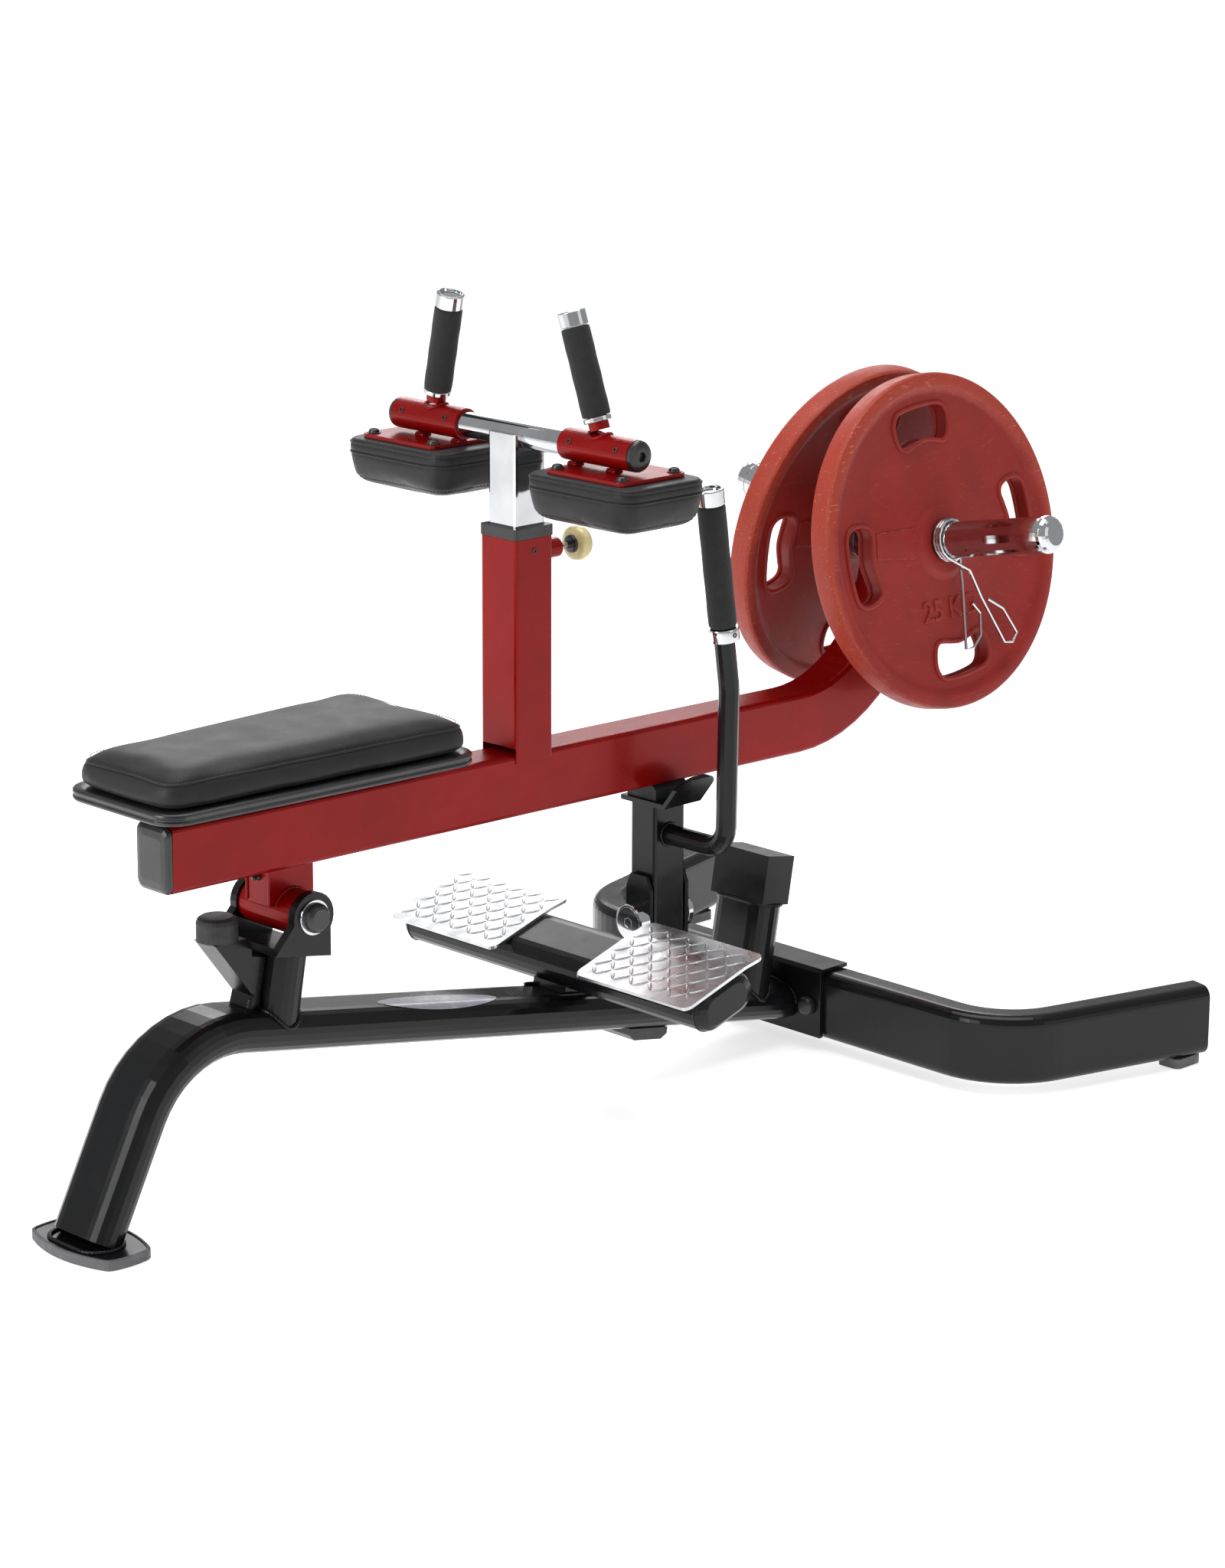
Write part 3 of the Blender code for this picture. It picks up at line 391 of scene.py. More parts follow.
def spaced(path, step, closed=False):
    """The path resampled at even steps."""
    pts = [Vector(p) for p in path] + ([Vector(path[0])] if closed else [])
    lengths = [0.0]
    for a, b in zip(pts, pts[1:]):
        lengths.append(lengths[-1] + (b - a).length)
    count = max(4, int(lengths[-1] / step))
    out, k = [], 0
    for i in range(count if closed else count + 1):
        d = lengths[-1] * i / count
        while k < len(pts) - 2 and lengths[k + 1] < d:
            k += 1
        f = (d - lengths[k]) / max(lengths[k + 1] - lengths[k], 1e-9)
        out.append(pts[k].lerp(pts[k + 1], min(max(f, 0), 1)))
    return out


def weld(name, path, body, slot, size=2.6, closed=False):
    """Rippled weld bead with slightly uneven scallops."""
    pts = spaced(path, 0.9, closed)
    seed = sum(ord(c) for c in name) % 7

    def radius(i):
        drift = 1 + 0.07 * math.sin(i * 0.13 + seed)
        return size * drift * (0.86 + 0.17 * abs(math.sin(i * 0.62 + 0.4 * math.sin(i * 0.05))))
    return settle(cord(name, pts, radius, closed, n=7), body, slot, angle=70)


def joined(name, objs):
    """One object from several, in the order given."""
    bm = bmesh.new()
    for obj in objs:
        bm.from_mesh(obj.data)
        bpy.data.objects.remove(obj)
    mesh = bpy.data.meshes.new(name)
    bm.to_mesh(mesh)
    bm.free()
    return bpy.data.objects.new(name, mesh)


def socket_screw(name, where, axis, r=3.6, proud=1.2, deep=1.6):
    """Small set screw: rounded edge and a sunk hex socket."""
    body = turned(name, where, axis, [(r, -1.0), (r, proud - 0.5), (r - 0.6, proud),
                                      (r * 0.56, proud), (r * 0.5, proud - deep)], n=24)
    hexed(body, where, axis, r * 0.56, proud)
    return body


def hexed(obj, where, axis, r, height):
    """Pull the vertices of a round socket mouth in to a hexagon."""
    axis, u, v = square_to(axis)
    c = at(*where)
    for vert in obj.data.vertices:
        d = vert.co - c
        h, a, b = d.dot(axis), d.dot(u), d.dot(v)
        rad = math.hypot(a, b)
        if rad < (r + 0.05) * MM and rad > 0.1 * MM and h < (height + 0.05) * MM:
            turn = math.atan2(b, a) % (math.pi / 3) - math.pi / 6
            k = math.cos(math.pi / 6) / math.cos(turn)
            vert.co = c + axis * h + (u * a + v * b) * k


def button_bolt(name, where, axis, r, h, body, slot, look=None):
    """Domed socket head with a washer ring under it."""
    head = [(r * 1.25, 0), (r * 1.25, h * 0.22), (r, h * 0.26), (r * 0.97, h * 0.5),
            (r * 0.85, h * 0.8), (r * 0.6, h), (r * 0.48, h), (r * 0.44, h * 0.45)]
    obj = turned(name, where, axis, head, n=30)
    hexed(obj, where, axis, r * 0.48, h)
    return settle(obj, body, slot, look=look, angle=30)


# ---------------------------------------------------------------- shared measures

SLOPE = math.radians(10.1)
PIVOT = (-1081.0, 0.0, 360.0)
POST_X, KNEE_Z, SLEEVE_R = -697.0, 885.5, 19.5
HORN_Z, HORN_TILT = 651.0, math.radians(11.0)
PLATE_MID = (57.7 + 91.7) / 2   # middle of a plate's thickness along its horn
SEAT_X, SEAT_HALF = (-1324.0, -864.0), (98.0, 119.0)
TUBE_T, TUBE_FLAT = 50.0, 25.0  # flat-oval tube: thickness and half width of its flats
HINGE_POST_X, STOP_LEG_X = -1112.0, -299.0
LEG_FOOT_X, LEG_LEAN = -1383.2, 115.0 / 226.7
FOOTREST, FOOTREST_SEAM = (-600.0, 196.3), 265.0
TREAD_TILT, LIP_TILT = math.radians(17.6), math.radians(11.5)
TREAD_BEND_X = -566.0
PLUNGER_Z = 735.0
STICKER_X, STICKER_HALF, STICKER_WIDE, STICKER_MID = -856.0, 99.0, 23.0, 21.0


def base_z(x):
    return 162.5 - math.tan(SLOPE) * (x + 800.0)


def on_base(x, along_tube, up, y=0.0):
    c, s = math.cos(SLOPE), math.sin(SLOPE)
    return (x + along_tube * c + up * s, y, base_z(x) - along_tube * s + up * c)


def horn_way(side):
    return Vector((0, side * math.cos(HORN_TILT), math.sin(HORN_TILT)))


def seat_outline(grow, r=34.0, seg=8):
    """Rounded trapezoid of the seat seen from above."""
    (x0, x1), (h0, h1) = SEAT_X, SEAT_HALF
    corners = [(x0 - grow, -h0 - grow), (x1 + grow, -h1 - grow),
               (x1 + grow, h1 + grow), (x0 - grow, h0 + grow)]
    pts = []
    for i in range(4):
        p, q, n = (Vector(corners[(i + k) % 4]) for k in (0, -1, 1))
        u, v = (q - p).normalized(), (n - p).normalized()
        half = u.angle(v) / 2
        c = p + (u + v).normalized() * (r / math.sin(half))
        a, b = p + u * (r / math.tan(half)) - c, p + v * (r / math.tan(half)) - c
        turn = a.angle(b)
        for k in range(seg + 1):
            f = k / seg
            w = (a * math.sin((1 - f) * turn) + b * math.sin(f * turn)) / math.sin(turn)
            pts.append((c + w)[:])
    return pts


# ---------------------------------------------------------------- upholstery

def puff(obj, is_held, cap, voxel=6.0, pressure=4.0, calm=4):
    """Cloth-simulated stuffing: the shell swells, held where it meets its board."""
    bpy.context.scene.collection.objects.link(obj)
    bpy.context.view_layer.objects.active = obj
    remesh = obj.modifiers.new("even", "REMESH")
    remesh.mode, remesh.voxel_size = "VOXEL", voxel * MM
    bake(obj)
    start = np.array([v.co for v in obj.data.vertices], float)
    held = obj.vertex_groups.new(name="held")
    held.add([v.index for v in obj.data.vertices if is_held(v.co.z / MM + GROUND)],
             1.0, "ADD")
    cloth = obj.modifiers.new("stuffing", "CLOTH")
    s = cloth.settings
    s.quality, s.mass, s.vertex_group_mass = 6, 0.25, "held"
    s.use_pressure, s.uniform_pressure_force = True, pressure
    s.tension_stiffness = s.compression_stiffness = 18.0
    s.shear_stiffness, s.bending_stiffness = 8.0, 2.5
    s.effector_weights.gravity = 0.0
    cloth.point_cache.frame_start, cloth.point_cache.frame_end = 1, 20
    for frame_no in range(1, 21):
        bpy.context.scene.frame_set(frame_no)
    bake(obj)
    bpy.context.scene.frame_set(1)
    end = np.array([v.co for v in obj.data.vertices], float)
    if len(end) == len(start):
        move = end - start
        size = np.linalg.norm(move, axis=1, keepdims=True)
        move *= np.minimum(1.0, cap * MM / np.maximum(size, 1e-9))
        obj.data.vertices.foreach_set("co", (start + move).ravel())
    smooth = obj.modifiers.new("relax", "SMOOTH")
    smooth.factor, smooth.iterations = 0.5, calm
    sub = obj.modifiers.new("fine", "SUBSURF")
    sub.levels = sub.render_levels = 1
    bake(obj)
    bpy.context.scene.collection.objects.unlink(obj)
    return obj


def bake(obj):
    """Apply every modifier by taking the evaluated mesh."""
    graph = bpy.context.evaluated_depsgraph_get()
    mesh = bpy.data.meshes.new_from_object(obj.evaluated_get(graph))
    obj.modifiers.clear()
    obj.data = mesh


def girth(obj, outline, z, sink, step=3.0):
    """Closed path round obj at height z, just under its skin."""
    tree = BVHTree.FromPolygons([v.co.copy() for v in obj.data.vertices],
                                [tuple(p.vertices) for p in obj.data.polygons])
    cx = sum(p[0] for p in outline) / len(outline)
    cy = sum(p[1] for p in outline) / len(outline)
    out = []
    for p in spaced([(a, b, z) for a, b in outline], step, closed=True):
        way = Vector((cx - p.x, cy - p.y, 0)).normalized()
        hit = tree.ray_cast(at(*(p - way * 40)), way, 0.2)[0]
        if hit:
            q = Vector((hit.x / MM - X_SHIFT, hit.y / MM, hit.z / MM + GROUND))
            out.append(q + way * sink)
    return out


def groove(obj, path, width, depth, way=None):
    """Press the skin in along a stitched line, so that it tucks under its cord."""
    co = np.array([v.co for v in obj.data.vertices], float)
    line = np.array([at(*p) for p in path], float)
    centre = line.mean(axis=0)
    near = np.full(len(co), 1e9)
    for q in line:
        near = np.minimum(near, np.linalg.norm(co - q, axis=1))
    k = np.exp(-(near / (width * MM)) ** 2)[:, None] * depth * MM
    inward = centre - co
    inward[:, 2] = 0.0
    inward /= np.maximum(np.linalg.norm(inward, axis=1, keepdims=True), 1e-9)
    obj.data.vertices.foreach_set("co", (co + inward * k).ravel())


def stitches(name, path, pitch, body, r=0.55):
    """Short thread stitches laid over a seam."""
    pts = spaced(path, pitch / 2.0, closed=True)
    bits = []
    for i in range(0, len(pts) - 1, 2):
        a, b = pts[i], pts[i + 1]
        mid = (a + b) / 2
        bits.append(cord("s", [a, mid + (mid - a).cross(Vector((0, 0, 1))).normalized() * 0.1, b],
                         r, n=5))
    obj = joined(name, bits)
    return settle(obj, body, "vinyl", look=THREAD)


THREAD = moulded("black_thread", (0.020, 0.020, 0.021), 0.7, 0.4, 0.02)


def build_seat():
    rings = []
    for grow, z in ((-9, 535.6), (-5, 538), (-4, 545), (-4, 560), (-7, 568), (-20, 573),
                    (-52, 577)):
        rings.append([(a, b, z) for a, b in seat_outline(grow, max(34 + grow, 10))])
    seat = puff(loft("seat_cushion_sewn", rings), lambda z: z < 541.0, 5.0,
                calm=26)
    seam = girth(seat, seat_outline(0), 565.5, 0.2)
    groove(seat, seam, 3.2, 1.6)
    low = girth(seat, seat_outline(0), 540.0, 0.4)
    groove(seat, low, 2.6, 1.2)
    settle(seat, "lever", "vinyl", "seat_cushion", angle=60)
    settle(cord("seat_top_piping", seam, 1.5, True), "lever", "vinyl")
    stitches("seat_top_stitches", [p + Vector((0, 0, 3.4)) for p in
                                   girth(seat, seat_outline(0), 568.5, 0.3)], 5.0, "lever")
    rings = []
    for grow, z in ((-6, 521), (0.4, 521.1), (1.8, 522.6), (1.8, 525.2), (0.4, 526.6),
                    (0.4, 528.4), (1.8, 529.8), (1.8, 533.0), (0.6, 534.7), (-8, 535.2)):
        rings.append([(a, b, z) for a, b in seat_outline(grow)])
    settle(loft("seat_edge_trim", rings), "lever", "vinyl", "seat_board",
           look=LOOKS["plastic_black"], angle=50)


def build_knee_pad(side):
    cx, cy = -688.0, side * 164.5
    w, d = 144.0, 187.0

    def outline(shrink, r=26.0):
        return [(cx + a, cy + b) for a, b in
                rounded(w - 2 * shrink, d - 2 * shrink, max(r - shrink * 0.6, 8), seg=6)]
    rings = []
    for shrink, z in ((34, 797.5), (15, 800.5), (7, 809), (3.5, 824), (1.5, 838), (1.0, 852),
                      (2.0, 855.8), (8, 856.4)):
        rings.append([(a, b, z) for a, b in outline(shrink)])
    pad = puff(loft(side_name("knee_pad_sewn", side), rings), lambda z: z > 838.0, 5.0, 5.0)
    lines = []
    for z in (851.0, 838.5):
        path = girth(pad, outline(-2), z, 0.2)
        groove(pad, path, 2.4, 1.3)
        lines.append(path)
    low = girth(pad, outline(-2), 806.0, 0.5)
    groove(pad, low, 3.0, 1.2)
    settle(pad, "knee_carriage", "vinyl", side_name("knee_pad", side), angle=60)
    for k, path in enumerate(lines):
        settle(cord(side_name("knee_pad_piping_%d" % k, side), path, 1.5, True),
               "knee_carriage", "vinyl")
    stitches(side_name("knee_pad_stitches", side), low, 5.0, "knee_carriage")


def build_grip(name, foot, way, length, r, body, stands_for, cap_for, cap_len=19.0):
    """Foam sleeve with soft ends and a hollow-topped cap."""
    foot, way = Vector(foot), Vector(way)
    rings = [(r - 3.5, 0.3), (r - 1.2, 0.6), (r - 0.2, 2.2), (r, 5)]
    rings += [(r + 0.25 * math.sin(i * 1.9), 5 + (length - 10) * i / 9) for i in range(1, 9)]
    rings += [(r, length - 5), (r - 0.2, length - 2.2), (r - 1.2, length - 0.6),
              (r - 3.5, length - 0.2)]
    foam = settle(turned(name + "_foam", foot, way, rings, n=48), body, "foam", stands_for,
                  angle=60)
    top = foot + way * (length + 0.3)
    cr = r - 0.1
    cap = [(cr - 1, 0), (cr, 0.8), (cr, cap_len - 1.6), (cr - 0.9, cap_len - 0.3),
           (cr - 2.6, cap_len), (cr - 3.6, cap_len - 0.6), (cr - 4.4, cap_len - 4.0)]
    settle(turned(name + "_cap_shell", top, way, cap, n=48), body, "chrome", cap_for, angle=30)
    return top


# ---------------------------------------------------------------- knee carriage and grips

def build_knee_carriage():
    settle(turned("cross_tube_bright", (POST_X, 0, KNEE_Z), (0, 1, 0),
                  [(15.2, -211.3), (16, -210.5), (16, 210.5), (15.2, 211.3)], n=64),
           "knee_carriage", "chrome", "knee_cross_tube", angle=30)
    for side in (NEAR, FAR):
        name = side_name("cross_tube_plug", side)
        where, out = (POST_X, side * 211.3, KNEE_Z), (0, side, 0)
        plug = turned(name, where, out, [(18.6, 0), (19, 0.6), (19, 3.2), (17.6, 5.6), (13, 7.2),
                                         (7.0, 7.8), (6.4, 7.6), (6.0, 3.5)], n=48)
        hexed(plug, where, out, 7.0, 7.7)
        settle(plug, "knee_carriage", "plastic_black", angle=30)
        for k, (x, y) in enumerate(((-734, 112), (-647, 112), (-734, 223), (-647, 223))):
            button_bolt(side_name("pad_bolt_%d" % k, side), (x, side * y, 862.0), (0, 0, 1),
                        7.0, 5.5, "knee_carriage", "plastic_black")
        for k, y in enumerate((105, 172)):
            path = [(POST_X + a, side * y + b, 862.8) for a, b in rounded(13.5, 15.5, 3)]
            weld(side_name("lug_weld_%d" % k, side), path, "knee_carriage", "lever_red", 1.7, True)
        for k, y in enumerate((112, 192)):
            way = Vector((-0.93, 0, 0.37)).normalized()
            where = Vector((POST_X, side * y, KNEE_Z)) + way * SLEEVE_R
            settle(socket_screw(side_name("sleeve_screw_%d" % k, side), where, way), "knee_carriage",
                   "plastic_black", angle=30)
        way = Vector((-0.07, -side * math.sin(math.radians(16)), math.cos(math.radians(16))))
        way.normalize()
        foot = Vector((POST_X, side * 147, KNEE_Z + SLEEVE_R + 4.4))
        build_grip(side_name("hand_grip", side), foot + way * 16, way, 110, 17.5,
                   "knee_carriage", side_name("hand_grip", side), side_name("grip_cap", side))
        ring = []
        for a, b in circle(13.6, 28):
            p = Vector((POST_X + a, side * 147 + b, 0))
            drop = math.sqrt(max(SLEEVE_R ** 2 - a * a, 0))
            ring.append((p.x - 0.07 * (drop - SLEEVE_R - 4), p.y, KNEE_Z + drop + 0.6))
        weld(side_name("stem_weld", side), ring, "knee_carriage", "lever_red", 2.6, True)
        collar = turned(side_name("stem_collar", side), foot + way * 9.5, way,
                        [(12.6, 0), (16.6, 0.2), (17.4, 1), (17.4, 5.4), (16.6, 6.2), (12.6, 6.3)],
                        n=48, bored=True)
        settle(collar, "knee_carriage", "chrome", angle=30)


def build_plunger():
    z, tip = PLUNGER_Z, POST_X + 25.0 + 0.6
    pin = turned("plunger_pin", (tip, 0, z), (1, 0, 0),
                 [(3.6, 0), (4.9, 1.4), (4.9, 64), (4.4, 66)], n=32)
    settle(pin, "pull_plunger", "chrome", "plunger", angle=30)
    knob = turned("plunger_knob", (tip, 0, z), (1, 0, 0),
                  [(9, 68.6), (15, 68.7), (19.6, 69.8), (21.6, 72.4), (22, 76), (21.8, 80),
                   (20.6, 84), (18, 87.4), (14, 89.8), (8, 91.2), (3, 91.5)], n=64)
    settle(knob, "pull_plunger", "knob_cream", "plunger", angle=50)
    ring = turned("plunger_ring", (tip, 0, z), (1, 0, 0),
                  [(9.6, 64.4), (10.8, 64.9), (11.2, 66.2), (11.2, 68.0), (10.4, 68.8)], n=48)
    settle(ring, "pull_plunger", "plastic_black", "plunger", angle=30)
    face = [(POST_X + 31.5, 14.0 * math.cos(t), z + 14.0 * math.sin(t))
            for t in (2 * math.pi * i / 30 for i in range(30))]
    weld("plunger_boss_weld", face, "lever", "lever_red", 2.2, True)
    settle(socket_screw("sleeve_set_screw", (POST_X, -32.0, 744.0), (0, -1, 0), 4.2), "lever",
           "plastic_black", angle=30)


# ---------------------------------------------------------------- plates

GRIP_HOLE = [(-34, 182), (0, 184), (34, 182), (48, 176), (54, 164), (53, 148), (47, 134),
             (36, 129.5), (22, 133), (0, 137), (-22, 133), (-36, 129.5), (-47, 134),
             (-53, 148), (-54, 164), (-48, 176)]


def smooth_loop(pts, per=4):
    """Closed Catmull-Rom curve through the points."""
    out, n = [], len(pts)
    for i in range(n):
        p0, p1, p2, p3 = (Vector(pts[(i + k) % n]) for k in (-1, 0, 1, 2))
        for j in range(per):
            t = j / per
            out.append(0.5 * (2 * p1 + (p2 - p0) * t + (2 * p0 - 5 * p1 + 4 * p2 - p3) * t * t
                              + (3 * p1 - p0 - 3 * p2 + p3) * t ** 3))
    return out


def build_plate(side):
    way = horn_way(side)
    u = Vector((1, 0, 0))
    v = way.cross(u) * side
    hub = Vector((0, 0, HORN_Z))

    def spot(a, b, h):
        return hub + u * a + v * b + way * h
    mid = PLATE_MID
    half = [(25.7, 16.2), (26.8, 17.0), (42, 17.0), (44.5, 16.4), (47.5, 13.6), (50.5, 11.6),
            (54, 11.1), (120, 11.0), (196, 11.0), (199.5, 11.6), (202.5, 14.2), (205.5, 16.3),
            (209, 17.0), (219, 17.0), (222.6, 16.2), (224.4, 14.0), (225.0, 11.0)]
    outline = [(r, mid + h) for r, h in half] + [(r, mid - h) for r, h in half[::-1]]
    plate = turned(side_name("plate_disc", side), hub, way, outline, n=144, bored=True)
    outward(plate)
    bpy.context.scene.collection.objects.link(plate)
    knives, lips = [], []
    for i in range(4):
        c, s = (f(math.radians(90 * i - 5)) for f in (math.cos, math.sin))
        loop = [(p.x, p.y) for p in smooth_loop([(r * c - t * s, r * s + t * c)
                                                 for t, r in GRIP_HOLE])]
        knife = loft("knife", [[tuple(spot(a, b, mid + h)) for a, b in loop] for h in (-30, 30)])
        outward(knife)
        bpy.context.scene.collection.objects.link(knife)
        cut = plate.modifiers.new("hole", "BOOLEAN")
        cut.object, cut.solver, cut.operation = knife, "EXACT", "DIFFERENCE"
        knives.append(knife)
        for h in (-11.0, 11.0):
            lips.append(cord("lip", [spot(a, b, mid + h) for a, b in loop], 3.4, True, n=10))
    bake(plate)
    for knife in knives:
        bpy.data.objects.remove(knife)
    bpy.context.scene.collection.objects.unlink(plate)
    name = side_name("weight_plate", side)
    settle(plate, side_name("plate", side), "plate_red", name, angle=32)
    settle(joined(side_name("plate_hole_lips", side), lips), side_name("plate", side),
           "plate_red", angle=60)
    bands = []
    for k in (-1, 1):
        for i in (0, 2):
            t = math.radians(90 * i + 4)
            a, b = math.cos(t), math.sin(t)
            rail = [spot(a * r - b * 21 * s * (1 - 0.0022 * (r - 50)),
                         b * r + a * 21 * s * (1 - 0.0022 * (r - 50)), mid + k * 10.8)
                    for s in (-1, 1) for r in ((52, 127) if s < 0 else (127, 52))]
            rings = [[tuple(p + way * (k * lift)) for p in rail] for lift in (-1.0, 1.3)]
            bands.append(loft("band", rings))
    obj = joined(side_name("plate_bands", side), bands)
    settle(obj, side_name("plate", side), "plate_red", angle=30)
    build_number(side, spot, mid, way)


def build_number(side, spot, mid, way):
    """Raised 25 KG on both faces, below the hub."""
    for k in (-1, 1):
        curve = bpy.data.curves.new("number", "FONT")
        curve.body, curve.size, curve.extrude, curve.bevel_depth = "25 KG", 0.040, 0.0012, 0.0004
        curve.align_x, curve.align_y = "CENTER", "CENTER"
        text = bpy.data.objects.new("number", curve)
        bpy.context.scene.collection.objects.link(text)
        graph = bpy.context.evaluated_depsgraph_get()
        mesh = bpy.data.meshes.new_from_object(text.evaluated_get(graph))
        bpy.data.objects.remove(text)
        z = way * k
        x = Vector((1, 0, 0)) * (1 if z.y < 0 else -1)
        y = z.cross(x)
        centre = at(*(Vector((0, 0, HORN_Z)) + way * (mid + k * 11.6) - y * 92))
        mesh.transform(Matrix.Translation(centre) @ Matrix((x, y, z)).transposed().to_4x4())
        obj = bpy.data.objects.new(side_name("plate_number_%s" % ("out" if k > 0 else "in"), side),
                                   mesh)
        settle(obj, side_name("plate", side), "plate_red", angle=40)


# ---------------------------------------------------------------- treads

def tread_top(x):
    """Height and slope of the tread's upper face."""
    s, c = math.sin(TREAD_TILT), math.cos(TREAD_TILT)
    px, pz = FOOTREST[0] - s * 25.3, FOOTREST[1] + c * 25.3
    if x <= TREAD_BEND_X - 1.0:
        return pz + (x - px) * s / c + 4.0 / c * 0.985, TREAD_TILT
    z1 = pz + (TREAD_BEND_X - px) * s / c
    return z1 + (x - TREAD_BEND_X) * math.tan(LIP_TILT) + 4.0, LIP_TILT


def build_chequer(side):
    """Raised lozenges in alternating diagonals over the bent tread plate."""
    pitch, half, wide, rise = 16.6, 11.5, 2.7, 1.25
    verts, faces = [], []
    y_mid = 175.5
    for i in range(-6, 7):
        for j in range(-8, 9):
            cx, cy = -601.5 + i * pitch, y_mid + j * pitch
            t = math.radians(45 if (i + j) % 2 else -45)
            c, s = math.cos(t), math.sin(t)
            ring = [(-half, 0), (-half * 0.55, -wide * 0.82), (0, -wide), (half * 0.55, -wide * 0.82),
                    (half, 0), (half * 0.55, wide * 0.82), (0, wide), (-half * 0.55, wide * 0.82)]
            placed = [(cx + a * c - b * s, cy + a * s + b * c) for a, b in ring]
            if (min(p[0] for p in placed) < -668.5 or max(p[0] for p in placed) > -535.0
                    or min(p[1] for p in placed) < 77.5 or max(p[1] for p in placed) > 273.5):
                continue
            first = len(verts)
            for k, lift in ((1.0, -0.3), (0.86, rise * 0.75), (0.5, rise)):
                for x, y in placed:
                    px, py = cx + (x - cx) * k, cy + (y - cy) * k
                    z, t2 = tread_top(px)
                    verts.append(at(px - math.sin(t2) * lift, side * py, z + lift * math.cos(t2)))
            for level in (0, 1):
                for n in range(8):
                    a, b = first + level * 8 + n, first + level * 8 + (n + 1) % 8
                    faces.append((a, b, b + 8, a + 8))
            faces.append(tuple(first + 16 + n for n in range(8)))
    mesh = bpy.data.meshes.new("chequer")
    mesh.from_pydata(verts, [], faces)
    obj = bpy.data.objects.new(side_name("chequer", side), mesh)
    settle(obj, "base", "tread_plate", angle=50)


# ---------------------------------------------------------------- frame details

def oval_ring(x, up, grow=0.0, wide=100.0, thick=50.0, n=64):
    """Oval outline square to an upright standing on the base tube."""
    pts = []
    for side, start in ((1, -90), (-1, 90)):
        for i in range(n // 2):
            a = math.radians(start + 180.0 * i / (n // 2 - 1))
            y = side * (wide - thick) / 2 + (thick / 2 + grow) * math.cos(a)
            pts.append((y, (thick / 2 + grow) * math.sin(a)))
    return [on_base(x, b, up, a) for a, b in pts]


def across_tube(p, x):
    """How far a point lies along the base tube from the upright at x."""
    return (p[0] - x) * math.cos(SLOPE) - (p[2] - base_z(x)) * math.sin(SLOPE)


def coped_ring(x, grow=0.6):
    """The joint line where a coped upright meets the oval base tube."""
    out = []
    for p in oval_ring(x, 0, grow, 98.0):
        y = p[1]
        over = max(abs(y) - 25.0, 0.0)
        up = math.sqrt(max(25.6 ** 2 - over ** 2, 60.0))
        out.append(on_base(x, across_tube(p, x), up, y))
    return out


def build_frame_details():
    black, red = "frame_black", "lever_red"
    weld("hinge_post_foot_weld", coped_ring(HINGE_POST_X), "base", black, 3.0, True)
    weld("stop_leg_foot_weld", coped_ring(STOP_LEG_X), "base", black, 3.0, True)
    weld("hinge_post_top_weld", oval_ring(HINGE_POST_X, 97.0, 0.8, 98.0), "base", black, 2.6, True)
    weld("stop_leg_top_weld", oval_ring(STOP_LEG_X, 136.0, 0.6, 98.0), "base", black, 2.6, True)
    leg = [(LEG_FOOT_X + across_tube(p, HINGE_POST_X) * math.hypot(1, LEG_LEAN), p[1], 17.4)
           for p in oval_ring(HINGE_POST_X, 0, 0.8)]
    weld("leg_foot_weld", leg, "base", black, 3.0, True)
    for k, y in enumerate((-36.0, 36.0)):
        path = [(-655.0 + i * 7.0, y * 0.88, base_z(-655.0 + i * 7.0) + 26.2) for i in range(11)]
        weld("footrest_weld_%d" % k, path, "base", black, 2.6)
    path = [(-1153.0, -20.8, 252.5), (-1150.0, -20.8, 262.0), (-1143.0, -20.8, 268.0)]
    weld("bumper_foot_weld", path, "base", black, 2.2)
    path = [(-232.0, 49.5 * math.cos(t), 62.0 + 26.0 * math.sin(t))
            for t in (math.pi * i / 40 for i in range(41))]
    weld("saddle_base_weld", path, "base", black, 2.8)
    path = [(-478.0 + i * 6.0, -22.8, base_z(-478.0 + i * 6.0) + 26.4) for i in range(11)]
    weld("catch_bracket_weld_near", path, "base", black, 2.2)
    weld("catch_bracket_weld_far", [(x, -y, z) for x, y, z in path], "base", black, 2.2)
    path = [(-479.0 + i * 7.0, -22.9, 375.4) for i in range(9)]
    weld("catch_saddle_weld", path, "catch", black, 1.9)
    path = [(-450.0 + a, -23.0, 334.0 + b) for a, b in circle(14.6, 30)]
    weld("catch_arm_weld", path, "catch", black, 2.2, True)
    for k, s in ((0, -1), (1, 1)):
        path = [(-1116.6, s * 20.6, 418.0 - 4.5 * i) for i in range(11)]
        weld("gusset_weld_%d" % k, path, "lever", red, 1.8)
        path = [(PIVOT[0] - 33.0 + 6.6 * i, s * 20.8, 417.2 + 0.1 * i) for i in range(11)]
        weld("gusset_top_weld_%d" % k, path, "lever", red, 2.0)
        path = [(PIVOT[0] + 28.4 * math.cos(t), s * 20.8, PIVOT[2] + 28.4 * math.sin(t))
                for t in (math.radians(160 - 14 * i) for i in range(11))]
        weld("hub_weld_%d" % k, path, "lever", red, 2.2)
    build_fittings()


